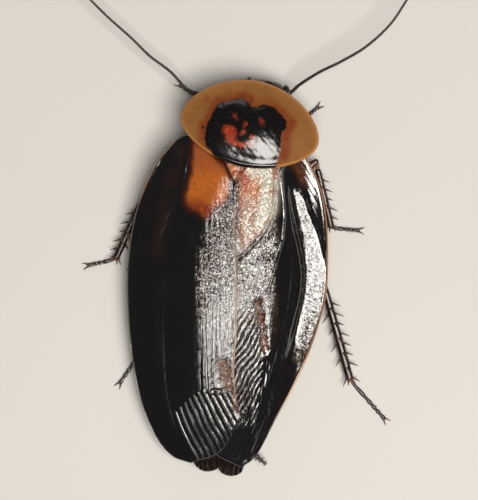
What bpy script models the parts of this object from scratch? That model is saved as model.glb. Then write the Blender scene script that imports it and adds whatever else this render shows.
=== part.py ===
"""A deaths head cockroach, life size, at rest with folded wings on the floor.

The shapes are worked out in millimetres in the body's own frame: +Y towards the head,
+X the animal's right, +Z up, the floor at z = 0 and x = 0 on the midline of the abdomen.
Each mesh is scaled to metres as it is made. At the end one empty carries every piece,
and moves the model so that the middle of its footprint is the origin.
"""

import math

import bmesh
import bpy
from mathutils import Matrix, Vector

MM = 0.001
GAP = 0.3
LEFT, RIGHT = -1, 1
SIDE_NAMES = {LEFT: "left", RIGHT: "right"}
DOWN = Vector((0, 0, -1))
UP = Vector((0, 0, 1))

# The dome of the folded wings: its height along the midline and at its lateral margin,
# and its half width, each at stations along the body.
DOME_CREST = [(-24, 4.2), (-20, 5.3), (-15, 6.8), (-8, 8.4), (0, 9.3), (10, 9.6), (20, 9.2), (26, 8.4)]
DOME_MARGIN = [(-24, 3.7), (-18, 3.9), (-8, 4.2), (0, 4.3), (8, 4.5), (16, 5.0), (22, 5.8), (26, 6.4)]
DOME_HALF_WIDTH = [(-24, 6.0), (-20, 7.6), (-13, 11.2), (-6, 13.1), (2, 14.4), (10, 14.6), (18, 13.4), (26, 12.6)]
# Across the dome: share of the half width and share of the fall from crest to margin. The
# crest is flat, the shoulders are steep and the costal field lies like a shelf.
DOME_FALL = [(0.0, 0.0), (0.2, 0.02), (0.45, 0.13), (0.6, 0.36), (0.72, 0.63), (0.8, 0.77), (0.9, 0.87), (1.0, 1.0)]

# Forewings. Their margins in plan, from the base backwards.
WING_THICKNESS = 0.5
LEFT_OUTER_MARGIN = [(-8.8, 25.1), (-11.5, 21.4), (-13.65, 15.45), (-14.5, 8.85), (-14.25, 1.6),
                     (-13.15, -5.6), (-11.3, -12.7), (-8.8, -17.8), (-6.1, -20.6), (-3.4, -21.3)]
RIGHT_OUTER_MARGIN = [(9.3, 25.2), (12.2, 20.6), (13.8, 15.2), (14.5, 8.2), (14.4, 3.5),
                      (13.0, -3.0), (10.9, -8.9), (8.5, -14.2), (5.9, -19.9), (4.0, -21.5)]
LEFT_INNER_MARGIN = [(-0.25, 20.2), (0.4, 15.6), (1.3, 7.1), (1.9, -1.4), (2.0, -8.0), (3.3, -14.1)]
RIGHT_INNER_MARGIN = [(0.3, 20.2), (-0.4, 15.6), (-1.3, 7.1), (-1.9, -1.4), (-2.0, -8.0), (-3.0, -14.1)]
WING_TIP_BEND = (0.9, 1.5)
LEFT_WING_BASE = [(-7.2, 25.9), (-4.6, 25.3), (-2.5, 23.7), (-1.2, 21.9)]
RIGHT_WING_BASE = [(7.6, 25.6), (5.8, 24.7), (3.2, 23.2), (1.5, 21.8)]
WING_ROWS = 18
VEIN_COLUMNS = 14
CLAVUS_COLUMNS = 3
CLAVAL_FURROW = [(0.0, 0.55), (0.15, 0.72), (0.36, 0.9), (1.0, 0.93)]
FURROW_DEPTH = 0.2
RADIAL_VEIN_COLUMN = 5
RADIAL_VEIN_HEIGHT = 0.28
VEIN_HEIGHT = 0.13
# Half the step between the two forewings where the left one lies over the right one.
OVERLAP_STEP = 0.46
OVERLAP_FULL_BEHIND = 20.2
OVERLAP_NONE_BEFORE = 23.0
OVERLAP_REACH = (7.2, 3.2)

# Hind wings, folded beneath the forewings, with only their tips in sight.
HIND_WING_DEPTH = 1.4
HIND_WING_PLEAT = 0.12
LEFT_HIND_OUTER = [(-7.6, 19.2), (-10.2, 12.0), (-10.6, 4.0), (-9.4, -6.0), (-6.4, -14.5), (-3.4, -20.6)]
RIGHT_HIND_OUTER = [(7.6, 19.2), (10.2, 12.0), (10.6, 4.0), (9.0, -6.0), (6.6, -14.5), (4.5, -20.6)]
LEFT_HIND_TIP = [(-2.5, -22.0), (-1.0, -22.6)]
RIGHT_HIND_TIP = [(3.6, -22.5), (2.4, -22.85)]
HIND_WING_MIDLINE = 0.7
HIND_WING_PARTING = 0.24
HIND_WING_FRONT = 19.2
HIND_WING_REAR = -21.7
HIND_WING_COLUMNS = 8
HIND_WING_ROWS = 16

# The shield over the head, turned a little to the animal's right.
SHIELD_CENTRE = Vector((1.7, 27.4, 0))
SHIELD_YAW = math.radians(8)
SHIELD_HALF_WIDTH = 10.1
SHIELD_FRONT = 7.1
SHIELD_REAR = 5.6
SHIELD_POWER = 1.8
SHIELD_CREST = 10.7
SHIELD_SIDE_FALL = 2.7
SHIELD_FRONT_FALL = 3.4
SHIELD_REAR_FALL = 0.75
SHIELD_SIDE_POWER = 2.2
SHIELD_FRONT_POWER = 1.8
SHIELD_CREST_AT = -1.5
SHIELD_THICKNESS = 0.6
SHIELD_SEGMENTS = 40
SHIELD_RINGS = [0.3, 0.55, 0.75, 0.9, 1.0]

# The trunk below the wings.
TRUNK_DEPTH = 2.14
SCUTELLUM_DEPTH = 0.8
THORAX_REAR = 11.9
THORAX_BELLY = 3.5
THORAX_FLAT = 0.45
# Place along the body, half width and depth under the dome.
THORAX_SECTIONS = [
    (24.1, 4.2, SCUTELLUM_DEPTH), (22.6, 6.2, SCUTELLUM_DEPTH), (20.0, 8.0, 1.1),
    (19.5, 8.2, TRUNK_DEPTH), (16.0, 8.8, TRUNK_DEPTH), (THORAX_REAR, 9.4, TRUNK_DEPTH),
]
# Place in front of the shield's middle, half width and height of the belly.
PROTHORAX_SECTIONS = [(-2.35, 3.1, 4.2), (-1.6, 3.7, 3.7), (0.4, 4.3, 3.5), (2.2, 3.6, 4.0)]
PROTHORAX_CLEARANCE = 0.68
PROTHORAX_SIDE_FALL = 2.6
PROTHORAX_SIDE_RISE = 1.6
ABDOMEN_REAR = -17.9
ABDOMEN_SEGMENTS = 8
ABDOMEN_STEP = 0.16
ABDOMEN_STEP_BACK = 0.12
ABDOMEN_HALF_WIDTH = [(-17.9, 3.9), (-16, 5.6), (-13, 7.7), (-9, 9.6), (-4, 10.6), (2, 11.0), (8, 10.5), (11.6, 9.6)]
ABDOMEN_BELLY = [(-17.9, 2.4), (-15, 2.2), (-8, 2.2), (-2, 2.5), (3, 3.2), (6.5, 3.5), (11.6, 3.6)]
ABDOMEN_EDGE = 0.4
BELLY_POWER = 1.6
SECTION_STEPS = 5

# The head: its centre, its turn to the animal's right and its lean, with the face turned
# downwards. Its own axes are across, face (out of the face) and crown (mouth to crown).
HEAD_CENTRE = Vector((3.5, 32.0, 3.75))
HEAD_YAW = math.radians(8)
HEAD_LEAN = math.radians(50)
HEAD_SECTIONS = [
    (-2.3, 1.8, 1.1, -0.1), (-1.7, 2.2, 1.5, -0.05), (-0.8, 2.75, 1.8, 0), (0.3, 3.1, 1.95, 0),
    (1.4, 3.1, 1.9, 0), (2.4, 2.75, 1.65, 0), (3.05, 2.1, 1.2, -0.05), (3.4, 1.3, 0.7, -0.1),
]
EYE_CENTRE = (2.7, 0.5, 1.35)
EYE_RADII = (0.8, 1.1, 1.6)
SOCKET_ROOM = 0.34
# Jaws: place across, half thickness and half height. Lips: place up the head, half width,
# half thickness and place out of the face.
JAW_SECTIONS = [(1.85, 0.3, 0.32), (1.3, 0.34, 0.4), (0.22, 0.26, 0.22)]
JAW_HEIGHT = -3.0
JAW_DROP = 0.12
UPPER_LIP_SECTIONS = [(-2.62, 1.45, 0.26, 0.72), (-3.1, 1.4, 0.27, 0.74), (-3.55, 0.9, 0.25, 0.66)]
LOWER_LIP_SECTIONS = [(-2.62, 1.7, 0.3, -0.98), (-3.1, 1.5, 0.3, -1.0), (-3.6, 1.0, 0.26, -0.95)]
LONG_PALP = [(2.15, -0.75, -2.75), (2.7, -0.45, -2.95), (3.2, 0.2, -2.9), (3.4, 1.1, -2.5),
             (3.15, 1.95, -1.95), (2.8, 2.5, -1.95)]
SHORT_PALP = [(0.5, -0.95, -4.05), (0.85, -0.8, -4.5), (1.0, -0.3, -4.8), (0.8, 0.25, -4.85)]
LONG_PALP_RADIUS = 0.31
SHORT_PALP_RADIUS = 0.27
PALP_WAIST = 0.85
# The neck: its start ahead of the shield's middle and its height, its end on the head,
# and its half widths and half heights there.
NECK_START = (2.5, 6.6)
NECK_END = (0, -2.3, 0.9)
NECK_START_SIZE = (1.9, 1.5)
NECK_END_SIZE = (1.5, 1.1)

# Feelers: each route in plan with its height, from the socket to the tip.
FEELER_BASE_RADIUS = 0.46
FEELER_TIP_RADIUS = 0.17
FEELER_STEP = 2.2
RIGHT_FEELER = [(5.4, 33.25, 1.8), (6.3, 33.3, 1.8), (7.3, 33.5, 2.7), (8.5, 34.6, 4.3),
                (11.3, 36.6, 5.2), (14.1, 38.2, 5.5), (17.6, 40.6, 5.7), (20.9, 44.1, 5.8), (23.1, 47.9, 5.7), (25.6, 52.6, 5.5),
                (29.0, 57.0, 5.2), (33.0, 60.4, 4.8)]
LEFT_FEELER = [(2.0, 33.7, 1.8), (0.9, 33.6, 1.8), (-0.7, 33.3, 2.8), (-3.4, 32.6, 3.9),
               (-7.2, 32.5, 4.7), (-10.4, 35.1, 5.2),
               (-13.5, 37.1, 5.5), (-16.1, 39.3, 5.6), (-20.7, 42.9, 5.7), (-25.3, 47.2, 5.6),
               (-29.2, 52.2, 5.3), (-32.4, 58.0, 4.9)]

# The ringed feelers of the tail. Only the right one reaches past the wings.
CERCUS_TIPS = {LEFT: (-6.4, -20.5, 2.2), RIGHT: (7.6, -21.0, 2.2)}
CERCUS_START = (3.2, -0.7, 2.4)
CERCUS_JOINTS = 8
CERCUS_BASE_HALF = 0.62
CERCUS_TIP_HALF = 0.2
CERCUS_FLATNESS = 0.62

# Legs: where each hip and ankle is, the claws' end, and the lengths of femur and tibia.
# The knee rises from the line between hip and ankle by its tilt, 90 degrees being upright.
LEGS = {
    ("fore", RIGHT): {"base": (4.0, 27.3), "hip": (3.8, 24.0, 1.9), "ankle": (8.4, 28.8, 1.05),
                      "toe": (12.2, 32.4), "tilt": 40},
    ("fore", LEFT): {"base": (-0.8, 27.8), "hip": (-1.5, 24.4, 1.9), "ankle": (-5.2, 31.4, 1.05),
                     "toe": (-9.7, 34.0), "tilt": 30},
    ("mid", RIGHT): {"base": (3.0, 22.1), "hip": (4.2, 17.4, 1.7), "ankle": (14.7, 14.2, 1.05),
                     "toe": (19.7, 14.1), "tilt": 14},
    ("mid", LEFT): {"base": (-3.9, 22.0), "hip": (-3.3, 17.3, 1.7), "ankle": (-16.6, 7.3, 1.05),
                    "toe": (-21.4, 5.9), "tilt": 14},
    ("hind", RIGHT): {"base": (4.2, 15.7), "hip": (3.4, 10.6, 1.7), "ankle": (19.06, -7.9, 1.05),
                      "toe": (25.2, -13.9), "tilt": 10},
    ("hind", LEFT): {"base": (-4.2, 15.7), "hip": (-3.4, 10.6, 1.7), "ankle": (-10.85, -4.1, 1.05),
                     "toe": (-15.1, -11.6), "tilt": 10},
}
LEG_SIZES = {
    "fore": {"femur": 6.2, "tibia": 4.7, "girth": 0.85, "spines": 3},
    "mid": {"femur": 9.9, "tibia": 10.2, "girth": 0.95, "spines": 5},
    "hind": {"femur": 11.2, "tibia": 15.5, "girth": 1.1, "spines": 7},
}
FEMUR_HALF_WIDTH = 1.2
FEMUR_HALF_HEIGHT = 0.66
TIBIA_HALF_WIDTH = 0.5
JOINT_RADIUS = 0.42
KNEE_FOLD_ROOM = 0.24
HIP_RADIUS = 0.62
HIP_FOLD_ROOM = 0.34
COXA_HALF_WIDTH = 2.45
COXA_HALF_HEIGHT = 0.75
COXA_BASE_HEIGHT = {"fore": 2.75, "mid": 2.55, "hind": 2.55}
SPINE_LENGTH = 1.15
SPINE_RADIUS = 0.25
SPINE_TIP_RADIUS = 0.05
SPINE_LEAN = math.radians(38)
# Spine rows round the tibia: outer side, upper side and inner side.
SPINE_ROWS = [0, 75, 180]
SPINES_FROM = 0.2
SPINES_SPAN = 0.62
SPINES_END = 0.88
SPUR_ANGLES = [15, 65, 115, 165]
SPUR_SET_BACK = 0.8
SPUR_LENGTH = 1.8
TARSUS_HALF_WIDTH = 0.33
TARSUS_HALF_HEIGHT = 0.27
TARSUS_SET_OFF = 0.25
TARSUS_JOINTS = [0.42, 0.6, 0.74, 0.85, 1.0]
CLAW_LENGTH = 0.95
CLAW_ROOT = (0.25, 0.12, 0.28)
# Each claw's sections past its root: place ahead, outwards and up, and half width.
CLAW_SECTIONS = [(0.0, 0.0, 0.0, 0.17), (0.62, 0.22, 0.06, 0.15), (1.15, 0.5, -0.12, 0.06)]
# Sections of each limb piece: share of its length, half width and half height, both as
# shares of the piece's own sizes.
COXA_SECTIONS = [(0.0, 0.75, 0.8), (0.12, 1.0, 1.0), (0.4, 0.84, 1.0), (0.7, 0.45, 0.95)]
FEMUR_SECTIONS = [(0.0, 0.45, 0.7), (0.12, 0.6, 0.8), (0.2, 0.8, 0.95), (0.45, 1.0, 1.0), (0.75, 0.75, 0.9)]
TIBIA_SECTIONS = [(0.0, 0.72, 0.72), (0.08, 0.95, 0.9), (0.5, 1.1, 1.0), (0.93, 1.05, 1.0),
                  (0.98, 0.9, 0.85), (1.0, 0.55, 0.5)]
KNOB_SECTIONS = [(0.93, 1.1), (0.98, 0.85), (1.0, 0.45)]
# Sections of a foot joint: share of its length, girth and lift off the floor.
FOOT_SECTIONS = [(0.08, 0.72, 0.14), (0.62, 0.9, 0.0), (0.97, 1.0, 0.0)]


class Spline:
    """A smooth function through (place, value) stations, steady beyond its ends."""

    def __init__(self, stations):
        self.places = [place for place, _ in stations]
        self.values = [value for _, value in stations]

    def slope(self, index):
        first = max(index - 1, 0)
        last = min(index + 1, len(self.places) - 1)
        return (self.values[last] - self.values[first]) / (self.places[last] - self.places[first])

    def __call__(self, place):
        place = min(max(place, self.places[0]), self.places[-1])
        index = 0
        while index < len(self.places) - 2 and place > self.places[index + 1]:
            index += 1
        span = self.places[index + 1] - self.places[index]
        part = (place - self.places[index]) / span
        square, cube = part ** 2, part ** 3
        return (self.values[index] * (2 * cube - 3 * square + 1)
                + self.values[index + 1] * (3 * square - 2 * cube)
                + self.slope(index) * span * (cube - 2 * square + part)
                + self.slope(index + 1) * span * (cube - square))


def route(points):
    """The smooth curve through the points, for a share of its length from 0 to 1."""
    points = [Vector(point) for point in points]
    lengths = [0.0]
    for before, after in zip(points, points[1:]):
        lengths.append(lengths[-1] + (after - before).length)
    return Spline([(length / lengths[-1], point) for length, point in zip(lengths, points)])


def ramp(value, start, end):
    """0 at start, 1 at end, with a soft change between."""
    part = min(max((value - start) / (end - start), 0), 1)
    return part * part * (3 - 2 * part)


def clear_scene():
    for item in list(bpy.data.objects):
        bpy.data.objects.remove(item, do_unlink=True)


def make_material(name, colour, roughness, metallic=0.0):
    material = bpy.data.materials.new(name)
    material.use_nodes = True
    shader = material.node_tree.nodes["Principled BSDF"]
    shader.inputs["Base Color"].default_value = (*colour, 1)
    shader.inputs["Roughness"].default_value = roughness
    shader.inputs["Metallic"].default_value = metallic
    material.diffuse_color = (*colour, 1)
    return material


def add_object(name, data, material, collection):
    item = bpy.data.objects.new(name, data)
    item.data.materials.append(material)
    collection.objects.link(item)
    return item


def add_mesh(name, mesh, material, collection, sharp_angle=math.radians(50)):
    """A mesh drawn in millimetres becomes an object in metres, shaded smooth."""
    bmesh.ops.scale(mesh, vec=(MM, MM, MM), verts=mesh.verts)
    bmesh.ops.recalc_face_normals(mesh, faces=mesh.faces)
    data = bpy.data.meshes.new(name)
    mesh.to_mesh(data)
    mesh.free()
    data.shade_smooth()
    data.set_sharp_from_angle(angle=sharp_angle)
    return add_object(name, data, material, collection)


def loft(rings):
    """A closed skin through rings of equal count, with a flat cap at each end."""
    mesh = bmesh.new()
    rows = [[mesh.verts.new(point) for point in ring] for ring in rings]
    count = len(rows[0])
    for near, far in zip(rows, rows[1:]):
        for index in range(count):
            following = (index + 1) % count
            mesh.faces.new((near[index], near[following], far[following], far[index]))
    mesh.faces.new(rows[0])
    mesh.faces.new(rows[-1])
    return mesh


def oval(centre, across, upright, half_width, half_height, sides, power=2.0):
    """A ring of points on a superellipse, flat side down where the sides are even."""
    ring = []
    for index in range(sides):
        angle = 2 * math.pi * (index + 0.5) / sides
        cosine, sine = math.cos(angle), math.sin(angle)
        reach = (abs(cosine) ** power + abs(sine) ** power) ** (-1 / power)
        ring.append(centre + across * (half_width * reach * cosine) + upright * (half_height * reach * sine))
    return ring


def fuse(item, extras, collection):
    """Joins closed objects to the item and removes them."""
    pieces = bpy.data.collections.new("pieces_of_" + item.name)
    bpy.context.scene.collection.children.link(pieces)
    for extra in extras:
        collection.objects.unlink(extra)
        pieces.objects.link(extra)
    union = item.modifiers.new("union", "BOOLEAN")
    union.operation = "UNION"
    union.operand_type = "COLLECTION"
    union.collection = pieces
    union.solver = "EXACT"
    apply_modifiers(item)
    for extra in list(pieces.objects):
        bpy.data.objects.remove(extra, do_unlink=True)
    bpy.data.collections.remove(pieces)
    keep_largest(item)


def apply_modifiers(item):
    bpy.context.view_layer.update()
    graph = bpy.context.evaluated_depsgraph_get()
    finished = bpy.data.meshes.new_from_object(item.evaluated_get(graph))
    item.modifiers.clear()
    item.data = finished


def keep_largest(item):
    """Leaves only the closed surface with the most volume."""
    mesh = bmesh.new()
    mesh.from_mesh(item.data)
    left = set(mesh.faces)
    shells = []
    while left:
        shell = {left.pop()}
        border = list(shell)
        while border:
            face = border.pop()
            for edge in face.edges:
                for other in edge.link_faces:
                    if other in left:
                        left.discard(other)
                        shell.add(other)
                        border.append(other)
        shells.append(shell)
    shells.sort(key=shell_volume, reverse=True)
    for shell in shells[1:]:
        bmesh.ops.delete(mesh, geom=list(shell), context="FACES")
    mesh.to_mesh(item.data)
    mesh.free()


def shell_volume(shell):
    volume = 0.0
    for face in shell:
        first = face.verts[0].co
        for near, far in zip(face.verts[1:], face.verts[2:]):
            volume += first.dot(near.co.cross(far.co)) / 6
    return volume


dome_crest = Spline(DOME_CREST)
dome_margin = Spline(DOME_MARGIN)
dome_half_width = Spline(DOME_HALF_WIDTH)
dome_fall = Spline(DOME_FALL)
abdomen_half_width = Spline(ABDOMEN_HALF_WIDTH)
abdomen_belly = Spline(ABDOMEN_BELLY)
claval_furrow = Spline(CLAVAL_FURROW)


def dome(x, y):
    """The mean height of the folded wings."""
    fall = dome_crest(y) - dome_margin(y)
    return dome_crest(y) - fall * dome_fall(abs(x) / dome_half_width(y))


def below_dome(x, y, depth):
    """The height of a surface that lies this deep under the dome, measured square to it."""
    reach = 0.2
    slope_x = (dome(x + reach, y) - dome(x - reach, y)) / (2 * reach)
    slope_y = (dome(x, y + reach) - dome(x, y - reach)) / (2 * reach)
    return dome(x, y) - depth * math.sqrt(1 + slope_x ** 2 + slope_y ** 2)


def shield_point(across, forward):
    """The shield's own plan coordinates as a point of the body's frame, mid thickness."""
    height = SHIELD_CREST - SHIELD_SIDE_FALL * (abs(across) / SHIELD_HALF_WIDTH) ** SHIELD_SIDE_POWER
    if forward > SHIELD_CREST_AT:
        part = (forward - SHIELD_CREST_AT) / (SHIELD_FRONT - SHIELD_CREST_AT)
        height -= SHIELD_FRONT_FALL * part ** SHIELD_FRONT_POWER
    else:
        part = (SHIELD_CREST_AT - forward) / (SHIELD_REAR + SHIELD_CREST_AT)
        height -= SHIELD_REAR_FALL * part ** 2
    turned = Matrix.Rotation(-SHIELD_YAW, 3, "Z") @ Vector((across, forward, 0))
    return SHIELD_CENTRE + turned + UP * height


def build_shield(material, collection):
    """The pronotum: a thin domed plate with a rounded outline."""
    mesh = bmesh.new()
    rings = []
    for share in SHIELD_RINGS:
        ring = []
        for index in range(SHIELD_SEGMENTS):
            angle = 2 * math.pi * index / SHIELD_SEGMENTS
            cosine, sine = math.cos(angle), math.sin(angle)
            reach = (abs(cosine) ** SHIELD_POWER + abs(sine) ** SHIELD_POWER) ** (-1 / SHIELD_POWER)
            length = SHIELD_FRONT if sine > 0 else SHIELD_REAR
            ring.append(mesh.verts.new(shield_point(
                SHIELD_HALF_WIDTH * share * reach * cosine, length * share * reach * sine)))
        rings.append(ring)
    middle = mesh.verts.new(shield_point(0, 0))
    for index in range(SHIELD_SEGMENTS):
        following = (index + 1) % SHIELD_SEGMENTS
        mesh.faces.new((middle, rings[0][index], rings[0][following]))
        for near, far in zip(rings, rings[1:]):
            mesh.faces.new((near[index], far[index], far[following]))
            mesh.faces.new((near[index], far[following], near[following]))
    shield = add_mesh("pronotum", mesh, material, collection)
    thicken(shield, SHIELD_THICKNESS)


def thicken(item, thickness):
    """Gives an open sheet its thickness, half to each side."""
    shell = item.modifiers.new("thickness", "SOLIDIFY")
    shell.thickness = thickness * MM
    shell.offset = 0
    shell.use_even_offset = True


def sheet(name, rows, material, collection, thickness):
    """A sheet through rows of points, split alike on both of its faces."""
    mesh = bmesh.new()
    grid = [[mesh.verts.new(point) for point in row] for row in rows]
    for near, far in zip(grid, grid[1:]):
        for index in range(len(near) - 1):
            mesh.faces.new((near[index], near[index + 1], far[index + 1]))
            mesh.faces.new((near[index], far[index + 1], far[index]))
    item = add_mesh(name, mesh, material, collection)
    thicken(item, thickness)


def patch_point(base, rear, outer, inner, along, across):
    """A point of the patch whose four sides are the given curves."""
    sides = (outer(along) * (1 - across) + inner(along) * across
             + base(across) * (1 - along) + rear(across) * along)
    corners = (outer(0) * (1 - along) * (1 - across) + inner(0) * (1 - along) * across
               + outer(1) * along * (1 - across) + inner(1) * along * across)
    return sides - corners


def wing_columns(along):
    """(share across, height) of each vein and groove at this share of the wing's length."""
    furrow = claval_furrow(along)
    fade = ramp(along, 0.02, 0.22)
    columns = []
    for index in range(VEIN_COLUMNS):
        height = 0.0
        if index == RADIAL_VEIN_COLUMN:
            height = RADIAL_VEIN_HEIGHT * fade
        elif index % 2 == 1:
            height = VEIN_HEIGHT * fade
        columns.append((furrow * index / VEIN_COLUMNS, height))
    columns.append((furrow, -FURROW_DEPTH * (1 - ramp(along, 0.22, 0.34))))
    for index in range(1, CLAVUS_COLUMNS):
        columns.append((furrow + (1 - furrow) * index / CLAVUS_COLUMNS, 0.0))
    columns.append((1.0, 0.0))
    return columns


def build_forewing(side, outer_margin, inner_margin, base_points, material, collection):
    """A leathery forewing, its veins raised in its own surface."""
    outer = route(outer_margin)
    inner = route(inner_margin)
    base = route([outer_margin[0], *base_points, inner_margin[0]])
    across, back = WING_TIP_BEND
    bend = (Vector(outer_margin[-1]) + Vector(inner_margin[-1])) / 2 - Vector((side * across, back))
    rear = route([outer_margin[-1], bend, inner_margin[-1]])
    rows = []
    for row in range(WING_ROWS + 1):
        along = row / WING_ROWS
        points = []
        for across, height in wing_columns(along):
            plan = patch_point(base, rear, outer, inner, along, across)
            lap = ramp(plan.y, OVERLAP_NONE_BEFORE, OVERLAP_FULL_BEHIND)
            step = -side * OVERLAP_STEP * lap * ramp(side * plan.x, *OVERLAP_REACH)
            relief = height if side == LEFT else height * ramp(plan.x, 2.5, 4.5)
            points.append(Vector((plan.x, plan.y, dome(plan.x, plan.y) + step + relief)))
        rows.append(points)
    sheet("tegmen_" + SIDE_NAMES[side], rows, material, collection, WING_THICKNESS)


def build_hind_wing(side, outer_points, tip_points, material, collection):
    """A folded hind wing: pleated along its length, with a rounded tip."""
    middle = HIND_WING_MIDLINE + side * HIND_WING_PARTING
    outer = route([*outer_points, tip_points[0]])
    inner = route([(middle, HIND_WING_FRONT), (middle, HIND_WING_REAR)])
    base = route([outer_points[0], (middle, HIND_WING_FRONT)])
    rear = route([*tip_points, (middle, HIND_WING_REAR)])
    rows = []
    for row in range(HIND_WING_ROWS + 1):
        along = row / HIND_WING_ROWS
        points = []
        for column in range(HIND_WING_COLUMNS + 1):
            plan = patch_point(base, rear, outer, inner, along, column / HIND_WING_COLUMNS)
            pleat = HIND_WING_PLEAT * (column % 2) * ramp(along, 0.5, 0.8)
            height = below_dome(plan.x, plan.y, HIND_WING_DEPTH + HIND_WING_PLEAT) + pleat
            points.append(Vector((plan.x, plan.y, height)))
        rows.append(points)
    sheet("hind_wing_" + SIDE_NAMES[side], rows, material, collection, WING_THICKNESS)


def trunk_ring(y, half_width, depth, belly, belly_flat, inset):
    """A section of the trunk: its back follows the dome and its belly is flatter."""
    half_width -= inset
    shares = [math.sin(math.pi / 2 * step / SECTION_STEPS) for step in range(-SECTION_STEPS, SECTION_STEPS + 1)]
    edge = below_dome(half_width, y, depth) - inset
    back = []
    for share in shares:
        x = share * half_width
        back.append(Vector((x, y, below_dome(x, y, depth) - inset)))
    keel = []
    for share in reversed(shares):
        rise = max(abs(share) - belly_flat, 0) / (1 - belly_flat)
        height = belly + inset + (edge - ABDOMEN_EDGE - belly - inset) * rise ** BELLY_POWER
        keel.append(Vector((share * half_width, y, height)))
    return back + keel


def build_abdomen(material, collection):
    """Overlapping rings, each a little wider at its rear edge than the next at its front."""
    front = THORAX_REAR - GAP
    length = (front - ABDOMEN_REAR) / ABDOMEN_SEGMENTS
    rings = []
    for segment in range(ABDOMEN_SEGMENTS):
        start = front - segment * length - (ABDOMEN_STEP_BACK if segment else 0)
        middle = front - (segment + 0.5) * length
        end = front - (segment + 1) * length
        for y, inset in ((start, ABDOMEN_STEP), (middle, ABDOMEN_STEP / 2), (end, 0.0)):
            rings.append(trunk_ring(y, abdomen_half_width(y), TRUNK_DEPTH, abdomen_belly(y), 0.0, inset))
    add_mesh("abdomen", loft(rings), material, collection, math.radians(30))


def build_thorax(material, collection):
    """The middle and hind thorax, higher in front where the forewings' bases lie on it."""
    rings = [trunk_ring(y, half_width, depth, THORAX_BELLY, THORAX_FLAT, 0.0)
             for y, half_width, depth in THORAX_SECTIONS]
    add_mesh("thorax", loft(rings), material, collection)


def build_prothorax(material, collection):
    """The front of the trunk, hung close under the shield."""
    rings = []
    for forward, half_width, belly in PROTHORAX_SECTIONS:
        back = []
        keel = []
        for step in range(-SECTION_STEPS, SECTION_STEPS + 1):
            share = math.sin(math.pi / 2 * step / SECTION_STEPS)
            top = shield_point(share * half_width, forward)
            back.append(top - UP * (PROTHORAX_CLEARANCE + PROTHORAX_SIDE_FALL * share ** 4))
            keel.insert(0, Vector((top.x, top.y, belly + PROTHORAX_SIDE_RISE * abs(share) ** 3)))
        rings.append(back + keel)
    add_mesh("prothorax", loft(rings), material, collection)


def head_axes():
    ahead = Vector((math.sin(HEAD_YAW), math.cos(HEAD_YAW), 0))
    across = Vector((math.cos(HEAD_YAW), -math.sin(HEAD_YAW), 0))
    crown = UP * math.cos(HEAD_LEAN) + ahead * math.sin(HEAD_LEAN)
    face = ahead * math.cos(HEAD_LEAN) - UP * math.sin(HEAD_LEAN)
    return across, face, crown


def head_point(across_mm, face_mm, crown_mm):
    across, face, crown = head_axes()
    return HEAD_CENTRE + across * across_mm + face * face_mm + crown * crown_mm


def head_turn():
    across, face, crown = head_axes()
    return Matrix((across, face, crown)).transposed().to_4x4()


def build_egg(name, place, radii, material, collection, segments=12, rings=8):
    """An ellipsoid in the head's own axes."""
    mesh = bmesh.new()
    bmesh.ops.create_uvsphere(mesh, u_segments=segments, v_segments=rings, radius=1)
    stretch = Matrix.Diagonal((*radii, 1))
    turn = Matrix.Translation(head_point(*place)) @ head_turn()
    bmesh.ops.transform(mesh, matrix=turn @ stretch, verts=mesh.verts)
    return add_mesh(name, mesh, material, collection)


def build_head(shell, eye_material, mouth_material, collection, cutters):
    """The head capsule with its eyes in sockets, the upper lip, jaws and lower lip."""
    across, face, crown = head_axes()
    rings = []
    for height, half_width, half_depth, shift in HEAD_SECTIONS:
        centre = head_point(0, shift, height)
        rings.append(oval(centre, across, face, half_width, half_depth, 16, 2.3))
    head = add_mesh("head", loft(rings), shell, collection)
    for side in (LEFT, RIGHT):
        place = (side * EYE_CENTRE[0], EYE_CENTRE[1], EYE_CENTRE[2])
        build_egg("eye_" + SIDE_NAMES[side], place, EYE_RADII, eye_material, collection)
        wider = [radius + SOCKET_ROOM for radius in EYE_RADII]
        cutter = build_egg("socket_" + SIDE_NAMES[side], place, wider, eye_material, cutters)
        cutter.hide_render = True
        cutter.display_type = "WIRE"
        socket = head.modifiers.new("socket", "BOOLEAN")
        socket.operation = "DIFFERENCE"
        socket.object = cutter
        jaw = []
        for reach, width, height in JAW_SECTIONS:
            drop = JAW_DROP * (JAW_SECTIONS[0][0] - reach)
            centre = head_point(side * reach, -0.05, JAW_HEIGHT - drop)
            jaw.append(oval(centre, face, crown, width, height, 8))
        add_mesh("mandible_" + SIDE_NAMES[side], loft(jaw), mouth_material, collection)
    for name, sections, material in (("labrum", UPPER_LIP_SECTIONS, shell),
                                     ("labium", LOWER_LIP_SECTIONS, mouth_material)):
        lip = []
        for height, half_width, half_depth, shift in sections:
            centre = head_point(0, shift, height)
            lip.append(oval(centre, across, face, half_width, half_depth, 10, 2.6))
        add_mesh(name, loft(lip), material, collection)


def build_neck(material, collection):
    """A short tube from the back of the head up to the front of the prothorax."""
    across, face, crown = head_axes()
    ahead = Vector((math.sin(SHIELD_YAW), math.cos(SHIELD_YAW), 0))
    level = Vector((math.cos(SHIELD_YAW), -math.sin(SHIELD_YAW), 0))
    start = SHIELD_CENTRE + ahead * NECK_START[0] + UP * NECK_START[1]
    end = head_point(*NECK_END)
    rings = [oval(start, level, UP, *NECK_START_SIZE, 12), oval(end, across, crown, *NECK_END_SIZE, 12)]
    add_mesh("neck", loft(rings), material, collection)


def build_tube(name, points, radii, material, collection):
    """A thin tapering tube through the points."""
    curve = bpy.data.curves.new(name, "CURVE")
    curve.dimensions = "3D"
    curve.bevel_depth = MM
    curve.bevel_resolution = 2
    curve.use_fill_caps = True
    line = curve.splines.new("POLY")
    line.points.add(len(points) - 1)
    for spot, point, radius in zip(line.points, points, radii):
        spot.co = (*(point * MM), 1)
        spot.radius = radius
    line.use_smooth = True
    return add_object(name, curve, material, collection)


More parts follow.
